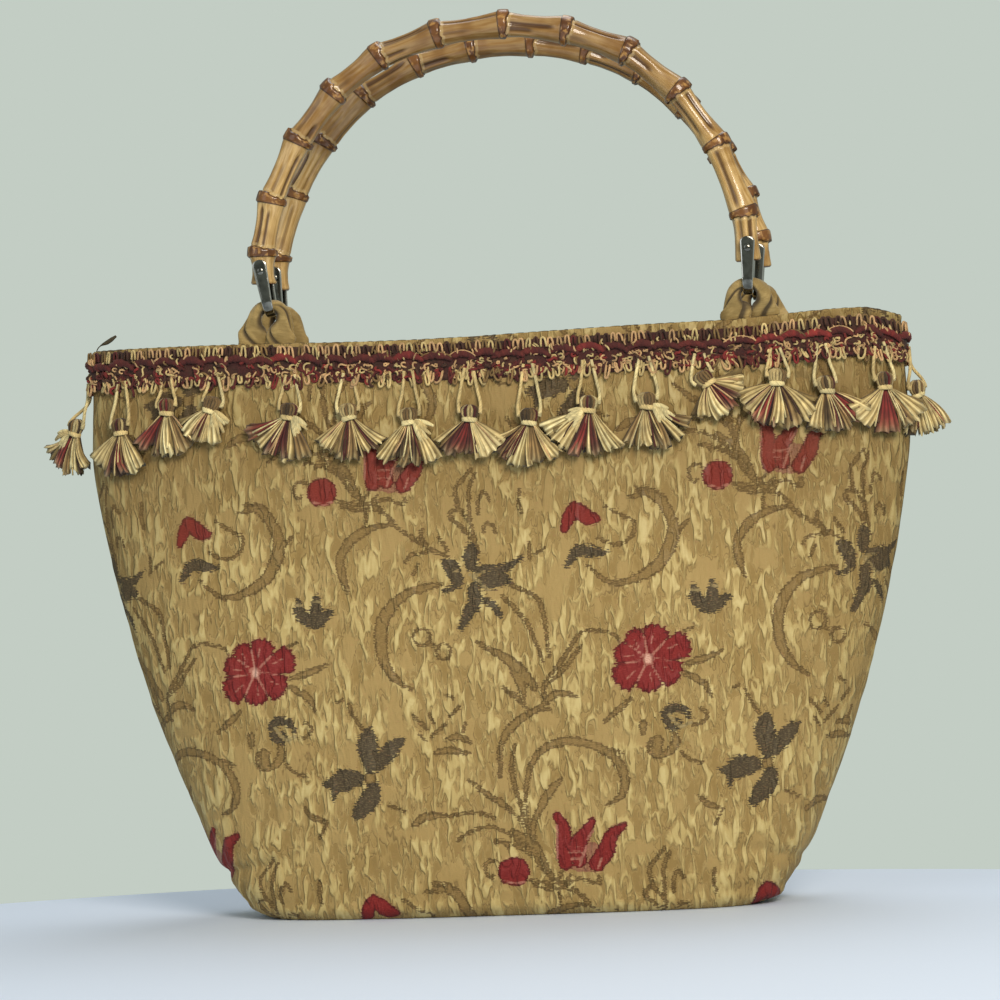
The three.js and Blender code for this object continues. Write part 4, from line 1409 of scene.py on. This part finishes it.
def chenille_scallops(rng):
    """The red cord: thick arcs with a rough pile, each over the next, some with a pale yarn on top."""
    count = int(RIM_LENGTH / SCALLOP_PITCH)
    t = np.linspace(0, 1, 18)
    arc = np.sin(np.pi * t) ** 0.75
    middle = (np.arange(count)[:, None] + rng.uniform(-0.13, 0.13, (count, 1))) * RIM_LENGTH / count
    around = middle + rng.uniform(1.05, 1.35, (count, 1)) * (t - 0.5) * SCALLOP_PITCH
    below = 8.6 - rng.uniform(2.2, 3.4, (count, 1)) * arc + rng.uniform(-0.6, 0.6, (count, 1)) * t
    out = 1.7 + 0.9 * t + 0 * around
    radius = (0.75 + 0.95 * arc) * rng.uniform(0.8, 1.18, around.shape)
    hues = picked(rng, count, "rkkkk") * rng.uniform(0.75, 1.15, (count, len(t), 1))
    cord = wrapped(around, below, out, radius, hues, 9, 0.8)
    laid = rng.uniform(0, 1, count) < 0.3
    pale = picked(rng, laid.sum(), "foo")
    return [cord, wrapped(around[laid], below[laid] - radius[laid].mean(), out[laid] + 0.6, 0.34, pale)]


def crossing_ends(rng, count):
    """Short pale stitches from the upright loops down over the scallops."""
    t = np.linspace(0, 1, 6)
    start = rng.uniform(0, RIM_LENGTH, (count, 1))
    around = start + rng.normal(0, 1.1, (count, 1)) * t + rng.normal(0, 0.5, (count, 1)) * np.sin(np.pi * t)
    below = rng.uniform(2.6, 5.5, (count, 1)) + rng.uniform(1.6, 3.4, (count, 1)) * t
    out = 1.6 + rng.uniform(0.9, 2.0, (count, 1)) * np.sin(np.pi * t) ** 0.6
    return wrapped(around, below, out, 0.44, picked(rng, count, "fffcco"))


def tangled_yarn(rng, count, top, bottom, letters, radius):
    """Short curly ends, mostly upright: each walks along a heading that swings, and dips into the tape."""
    t = np.linspace(0, 1, 8)
    start, level = rng.uniform(0, RIM_LENGTH, (count, 1)), rng.uniform(top, bottom, (count, 1))
    waves, phase = rng.uniform(0.4, 1.0, (count, 1)), rng.uniform(0, 1, (count, 1))
    swing = rng.uniform(0.4, 2.5, (count, 1))
    heading = np.pi / 2 + rng.normal(0, 0.45, (count, 1)) + swing * np.sin(2 * np.pi * (waves * t + phase))
    stride = rng.uniform(3.6, 7, (count, 1)) / len(t)
    around = start + np.cumsum(np.cos(heading) * stride, 1)
    below = level + np.cumsum(np.sin(heading) * stride, 1)
    out = 1.1 + rng.uniform(0.4, 1.7, (count, 1)) * np.sin(np.pi * t) ** 0.7
    return wrapped(around, below, out, radius, picked(rng, count, letters))


def hanging_loops(rng, count):
    """Loops along the lower edge: each goes down, round and up again, leaning a little."""
    t = np.linspace(-1, 1, 10)
    start = (np.arange(count)[:, None] + rng.uniform(-0.45, 0.45, (count, 1))) * RIM_LENGTH / count
    half, lean = rng.uniform(0.5, 1.2, (count, 1)), rng.uniform(-2.2, 2.2, (count, 1))
    around = start + half * np.sin(np.pi / 2 * t) * (1.6 - 0.6 * t**2) + lean * (1 - t**2)
    hang = rng.uniform(2.5, 6.8, (count, 1)) * (1 - np.abs(t) ** 2.4)
    below = 13.5 + hang + rng.uniform(-1, 1, (count, 1)) * t
    out = 1.5 + rng.uniform(0, 1.3, (count, 1)) * (1 - t**2) + 0.4 * t
    return wrapped(around, below, out, 0.58, picked(rng, count, "fffcccokkr"))


# %% The braid
rng = np.random.default_rng(2024)
braid_parts = [
    braid_tape(),
    upright_loops(rng),
    *chenille_scallops(rng),
    crossing_ends(rng, 300),
    tangled_yarn(rng, 560, 8, 15, "kkkrrb", 0.64),
    tangled_yarn(rng, 740, 7.4, 14.5, "fffffccco", 0.46),
    hanging_loops(rng, 290),
]
points, blocks, values = joined(braid_parts)
count = make_piece("fringe_heading", points, blocks, values, [wool], "bag", ["fringe_braid"])
print("fringe_heading", count, "triangles")

# %% [markdown]
# ## Tassels
#
# Each tassel hangs on two cords that end in knots beside a gathered head. A flat cream tie holds the neck,
# and below it the cut floss opens into a fan of locks in cream, red and olive. A lock is one tube with a
# crowned, ridged section that widens from the neck to its ragged hem. On the front the tassels lean, open
# and band as on the real bag, from a short table. At the back they are drawn by lot.

# %% Places of a tassel
HANG = 235.7  # the tassels' cords leave the braid here
TASSEL_OFF = 1.3
NECK = 15.5  # from the hanging point down to the tie
HANG_W, HANG_D, _ = section_at(np.array(236.0))


def tassel_place(angle, lean, neck, twist, push):
    """A function that lays flat places (across, drop, out) on the wall, and the direction that is out.

    Below the cords, places are turned by the lean about a point above the neck. Then come the wall's place
    at that height and steps sideways and out. Away from the braid, twist turns the tassel about the
    upright and push moves it out."""
    normal = unit(np.array([np.cos(angle) / HANG_W, np.sin(angle) / HANG_D, 0.0]))
    level = np.array([-normal[1], normal[0], 0.0])
    pivot = neck - 5

    def place(across, drop, out):
        """The wall's place at the drop's height, plus steps sideways and out that turn with the twist."""
        a = lean * smooth(drop, pivot - 8, neck)
        below = np.maximum(drop - pivot, 0)
        z = HANG - np.minimum(drop, pivot) - below * np.cos(a) + across * np.sin(a)
        x, y = outline(z, angle + 0 * z)
        swung = (across * np.cos(a) + below * np.sin(a))[..., None]
        free = smooth(drop, -2, 12)[..., None]
        spin = twist * free
        wall = np.stack([x, y, z + rim_lift(x, z)], -1) + push * free * normal
        sideways = level * np.cos(spin) - normal * np.sin(spin)
        facing = normal * np.cos(spin) + level * np.sin(spin)
        return wall + swung * sideways + (TASSEL_OFF + out)[..., None] * facing

    return place, normal * np.cos(twist) + level * np.sin(twist)


# %% Parts of a tassel
LOCK_STEPS = 8
# More points in front than behind.
LOCK_TURN = np.r_[np.linspace(np.pi, 0, 20), -np.linspace(0, np.pi, 5)[1:-1]]
RIDGES = 3.3  # radians of ridge for each letter of a lock's width
WARM = np.array([1, 1.12, 1.4, 0])  # powers by which shade between fibres takes more of green and blue


def floss_locks(rng, place, neck, fan, length, bands, under):
    """Locks of cut floss, one for each run of like letters in the bands, as wide as the run is long.

    Polar angle = the lock's middle + its half width * cos of the place round it; radius = length * t. The
    section is crowned in front, flat behind and ridged. Under locks lie behind and are shorter. Painted shade
    darkens the edges of every lock, its neck end, the ridge hollows and the front of the under locks, and the
    ridge tops get a painted highlight."""
    runs = [(letter, len(list(same))) for letter, same in groupby(bands)]
    count, sides = len(runs), len(LOCK_TURN)
    width = np.array([run for _, run in runs])[:, None, None] * rng.uniform(0.8, 1.25, (count, 1, 1))
    share = np.r_[0, np.cumsum(width)] / width.sum()
    edge = np.radians(-fan[0] + (fan[0] + fan[1]) * share)[:, None, None]
    t = np.linspace(0, 1, LOCK_STEPS)[:, None]
    rise = np.sin(LOCK_TURN)
    lift = np.where(rise > 0, np.abs(rise) ** 0.6, -0.3 * np.abs(rise))
    along = width * np.cos(LOCK_TURN)
    ridge = 0.24 * np.sin(RIDGES * along + rng.uniform(0, 6, (count, 1, 1))) * (lift > 0)
    curl = rng.normal(0, 0.09, (count, 1, 1)) * t**2
    polar = (edge[1:] + edge[:-1]) / 2 + 0.52 * (edge[1:] - edge[:-1]) * np.cos(LOCK_TURN) + curl
    ragged = 0.05 * np.sin(2.1 * along + rng.uniform(0, 6, (count, 1, 1)))
    ragged = ragged + rng.uniform(-0.04, 0.04, (count, 1, sides))
    reach = length * (rng.uniform(0.88, 1.06, (count, 1, 1)) + ragged)
    spread = 2 * (polar - edge[0]) / (edge[-1] - edge[0]) - 1
    across = 2.2 * spread * (1 - 0.6 * t) + reach * np.sin(polar) * t
    drop = neck + reach * np.cos(polar) * t + 1.3 * t**2 * np.abs(np.sin(polar))
    belly = 0.9 + 1.0 * np.sin(0.8 * np.pi * t) * np.cos(1.1 * spread)
    thick = (0.6 + 1.0 * t**0.6) * rng.uniform(0.7, 1.4, (count, 1, 1))
    out = belly + 0.9 * (1 - under) + thick * (lift + ridge * t**0.5)
    dyes = np.stack([DYES[letter] for letter, _ in runs])[:, None, None]
    # Random tone, times painted shade at the lock's edges and towards the neck, painted highlight on ridge
    # tops and shade in ridge hollows, and deep painted shade on the front of under locks.
    tone_and_shade = rng.uniform(0.82, 1.08, (count, 1, 1)) * (0.2 + 0.8 * np.abs(rise) ** 0.6) * (0.8 + 0.2 * t)
    tone_and_shade = tone_and_shade * (1 + 2.4 * ridge) * np.where((rise > 0) & under, 0.3, 1.0)
    hem = 0.3 * t**7
    hues = (dyes * (1 - hem[..., None]) + DYES["p"] * hem[..., None]) * tone_and_shade[..., None] ** WARM
    own = 17.0 * np.arange(count)[:, None, None] + 0 * out
    lay = np.stack([2.5 * along + own, 0.12 * reach * t + own, own], -1)
    return tubes(place(across, drop, out), hues, lay)


def loose_ends(rng, place, facing, neck, fan, length, count):
    """Single ends that lie over the locks and lift off them a little, in colours drawn by lot."""
    t = np.linspace(0, 1, 7)
    polar = np.radians(rng.uniform(-fan[0], fan[1], (count, 1)))
    spread = 2 * (polar + np.radians(fan[0])) / np.radians(sum(fan)) - 1
    reach = length * rng.uniform(0.8, 1.05, (count, 1))
    bend = rng.normal(0, 0.5, (count, 1)) * np.sin(np.pi * t)
    across = 2.0 * spread * (1 - t) + reach * np.sin(polar) * t + bend
    drop = neck + reach * np.cos(polar) * t + 1.2 * t**2 * np.abs(np.sin(polar))
    out = 2.7 + 1.3 * np.sin(0.75 * np.pi * t) * np.cos(1.1 * spread) + rng.uniform(0, 0.5, (count, 1)) * t
    return strands(place(across, drop, out), 0.3 + 0.12 * t, facing, picked(rng, count, "ccppfobk"))


def cords(rng, place, facing, neck):
    """Two cords from the braid to the head, spreading as they go, each with a knot at its end."""
    t = np.linspace(0, 1, 13)
    sway = eased(t, [0, 0.5, 0.85, 1], [1.9, 3.7, 4.9, 4.3])
    across = np.outer([-1, 1], sway) + rng.normal(0, 0.45, (2, 1)) * np.sin(np.pi * t)
    drop = -8 + (neck + 5.2) * t + 0 * across
    out = 0.7 + 1.7 * smooth(t, 0.4, 1) + 0 * across
    radius = 0.76 + 0.4 * smooth(t, 0.86, 0.95)
    return strands(place(across, drop, out), radius, facing, picked(rng, 2, "cp"), 7)


def head(rng, place, facing, neck, bands):
    """A gathered head: ridges of floss over a barrel darkened as painted shade between them, drawn in at the
    neck.
    """
    h = np.linspace(0, 1, 8)
    girth = eased(h, [0, 0.15, 0.5, 1], [1.3, 3.2, 3.7, 2.4])
    spin = np.linspace(0, 2 * np.pi, 15, endpoint=False)[:, None]
    drop = neck - 6.2 + 6.4 * h
    ridges = place(girth * np.cos(spin), drop + 0 * spin, 2.3 + 0.62 * girth * np.sin(spin))
    hues = picked(rng, len(spin), bands[1:-1:3] + "oooodc") * 0.75
    # The barrel takes the ridges' mean colour at 0.4: painted shade between the ridges.
    barrel = place(0 * h, drop, 2.3 + 0 * h)[None]
    return [
        strands(ridges, 0.66, facing, hues),
        strands(barrel, girth, facing, hues.mean(0) * 0.4, 10, 0.62),
    ]


def tie(rng, place, neck):
    """A flat band round the neck: an oval ring whose broad side faces away from the middle of the neck."""
    spin = np.linspace(0, 2 * np.pi, 19)
    tilt = rng.normal(0, 0.5)
    ring = place(3.0 * np.cos(spin), neck + tilt * np.cos(spin), 2.3 + 2.0 * np.sin(spin))[None]
    middle = place(np.zeros(1), np.array([neck]), np.array([2.3]))
    return strands(ring, 1.2, ring - middle, picked(rng, 1, "pc") * 1.05, 8, 0.45)


def bow(rng, place, facing, neck, side):
    """Loose loops of the tie beside the neck: flattened yarns that set out together, part and droop."""
    t, count = np.linspace(0, 1, 10), 7
    reach, tilt = rng.uniform(6, 10.5, (count, 1)), np.linspace(0.05, 1.2, count)[:, None]
    across = side * (2.0 + reach * np.cos(tilt) * t)
    drop = neck - 0.8 + reach * np.sin(tilt) * t + rng.uniform(0.5, 2.5, (count, 1)) * t**2
    out = 3.2 + rng.uniform(0.4, 1.3, (count, 1)) * np.sin(np.pi * t)
    broad = (0.6 + 0.45 * np.sin(np.pi * t)) * rng.uniform(0.8, 1.2, (count, 1))
    return strands(place(across, drop, out), broad, facing, picked(rng, count, "ppcc"), 7, 0.55)


def tassel(name, angle, form, node_name, seed, twist=0.0, push=0.0):
    """Cords, head, tie, bow and fan of one tassel, placed on the wall."""
    lean, left, right, length, rise, bands, bow_side = form
    rng = np.random.default_rng(seed)
    neck = NECK - rise
    place, facing = tassel_place(angle, np.radians(lean), neck, np.radians(twist), push)
    shadow = bands[::2] if len(bands) > 6 else bands
    parts = [cords(rng, place, facing, neck), *head(rng, place, facing, neck, bands), tie(rng, place, neck)]
    parts.append(floss_locks(rng, place, neck, (left, right), 0.94 * length, shadow, True))
    parts.append(floss_locks(rng, place, neck, (left, right), length, bands, False))
    parts.append(loose_ends(rng, place, facing, neck, (left, right), length, 9))
    if bow_side:
        parts.append(bow(rng, place, facing, neck, bow_side))
    points, blocks, values = joined(parts)
    return make_piece(name, points, blocks, values, [floss], "bag", [node_name])


# %% Tassels
# Place across; then lean, fan to the left and right in degrees, length, rise of the tie, bands, bow.
FRONT_TASSELS = [
    (-166, (6, 70, 40, 18.5, 0, "cccckrrkppcc", 0)),
    (-144, (2, 54, 46, 18, 8, "rrrkoppcoooc", 0)),
    (-122, (-22, 52, 44, 14, 8, "ppcoocpp", 1)),
    (-87, (-12, 64, 46, 18.5, 4, "rrcckrrkccooo", 1)),
    (-61, (4, 64, 52, 18, 3, "cccccoddoocckcc", 0)),
    (-34, (0, 54, 46, 18.5, 0, "pccoddoodoccc", 1)),
    (-7, (-4, 60, 70, 16.5, 0, "ckkrrkcccccc", 0)),
    (19, (-2, 64, 46, 19, -3, "cckrkppcoooccc", 0)),
    (45, (-3, 78, 44, 19, 1, "ppcccckrrckkppc", -1)),
    (70, (4, 44, 66, 18.5, 1, "oocccddooccoo", 1)),
    (94, (42, 76, 68, 15, 9, "ccppkkrkcccc", 0)),
    (127, (-6, 80, 72, 18.5, 8, "ccccrrkccoooccc", 0)),
    (147, (8, 48, 68, 18, 3, "cccoddkkorrrcc", 0)),
    (172, (0, 66, 70, 18.5, 4, "ccccrrrooccc", 0)),
]
LEFT_END = (-12, 54, 34, 18, 1, "cckrrkoppcc", -1)
RIGHT_END = (8, 44, 56, 18, 2, "cooccppccrcc", 0)
BACK_COUNT, BACK_SPAN = 14, 334
BAND_GROUPS = ["cccp", "rrk", "oodo", "cppc", "krr", "oocc"]


def drawn_form(rng):
    """A tassel drawn by lot: lean, fan, length, rise, bands and bow."""
    fan = rng.uniform(44, 70, 2)
    bands = "".join(rng.choice(BAND_GROUPS, 4))
    lean, length, rise = rng.uniform(-10, 10), rng.uniform(16.8, 18.6), rng.uniform(-2, 4)
    return lean, fan[0], fan[1], length, rise, bands, rng.integers(-1, 2)


total = 0
for k, (x, form) in enumerate(FRONT_TASSELS):
    label = f"front_{k + 1:02d}"
    total += tassel(f"floss_{label}", -np.arccos(x / HANG_W), form, f"tassel_{label}", 300 + k)
lots = np.random.default_rng(77)
for k in range(BACK_COUNT):
    label = f"back_{k + 1:02d}"
    x = BACK_SPAN * (k / (BACK_COUNT - 1) - 0.5)
    total += tassel(f"floss_{label}", np.arccos(x / HANG_W), drawn_form(lots), f"tassel_{label}", 400 + k)
total += tassel("floss_left", np.pi, LEFT_END, "tassel_left", 500, 55, 5.0)
total += tassel("floss_right", 0.0, RIGHT_END, "tassel_right", 501, -55, 1.5)
print(BACK_COUNT + len(FRONT_TASSELS) + 2, "tassels,", total, "triangles")

# %% [markdown]
# ## Stitches at the rim
#
# The fold of the rim is sewn down with dark thread. The stitches show as short dashes along the top edge,
# and one end of the thread stands up loose at the left corner.

# %% Stitches at the rim
STITCH_PITCH, STITCH_R = 5.2, 0.24
DARK_THREAD = np.array(linear("#3A3320"))
THREAD_END = np.array([  # where the loose end of the thread goes
    (-181.5, -3, 255), (-180.5, -4, 258.5), (-178.5, -5, 260.5), (-175, -5.5, 262), (-171, -6, 264.5),
])
UP = np.array([0, 0, 1.0])
BACKWARDS = np.array([0, 1.0, 0])

t = np.linspace(-0.5, 0.5, 6)
stitch_count = int(RIM_LENGTH / STITCH_PITCH)
stitch = (np.arange(stitch_count)[:, None] + rng.uniform(-0.2, 0.2, (stitch_count, 1))) * STITCH_PITCH
stitch = stitch + rng.uniform(1.8, 4.6, (stitch_count, 1)) * t
stitch_height = RIM - 0.1 + 0.12 * np.cos(np.pi * t) + 0 * stitch
stitch_line, _ = on_wall(stitch, stitch_height, -0.8 + 0.5 * t + 0 * stitch)
dashes = strands(stitch_line, STITCH_R, UP, DARK_THREAD, 5, 0.6)
t = np.linspace(0, 1, 16)
loose = eased(t, np.linspace(0, 1, len(THREAD_END)), THREAD_END)[None]
frayed = STITCH_R + 0.75 * smooth(t, 0.45, 0.75) * (1 - 0.6 * smooth(t, 0.85, 1.0))
points, blocks, values = joined([dashes, strands(loose, frayed, BACKWARDS, 1.4 * DARK_THREAD, 6, 0.5)])
count = make_piece("rim_stitches", points, blocks, values, [wool], "bag")
print("rim_stitches", count, "triangles,", stitch_count, "stitches")
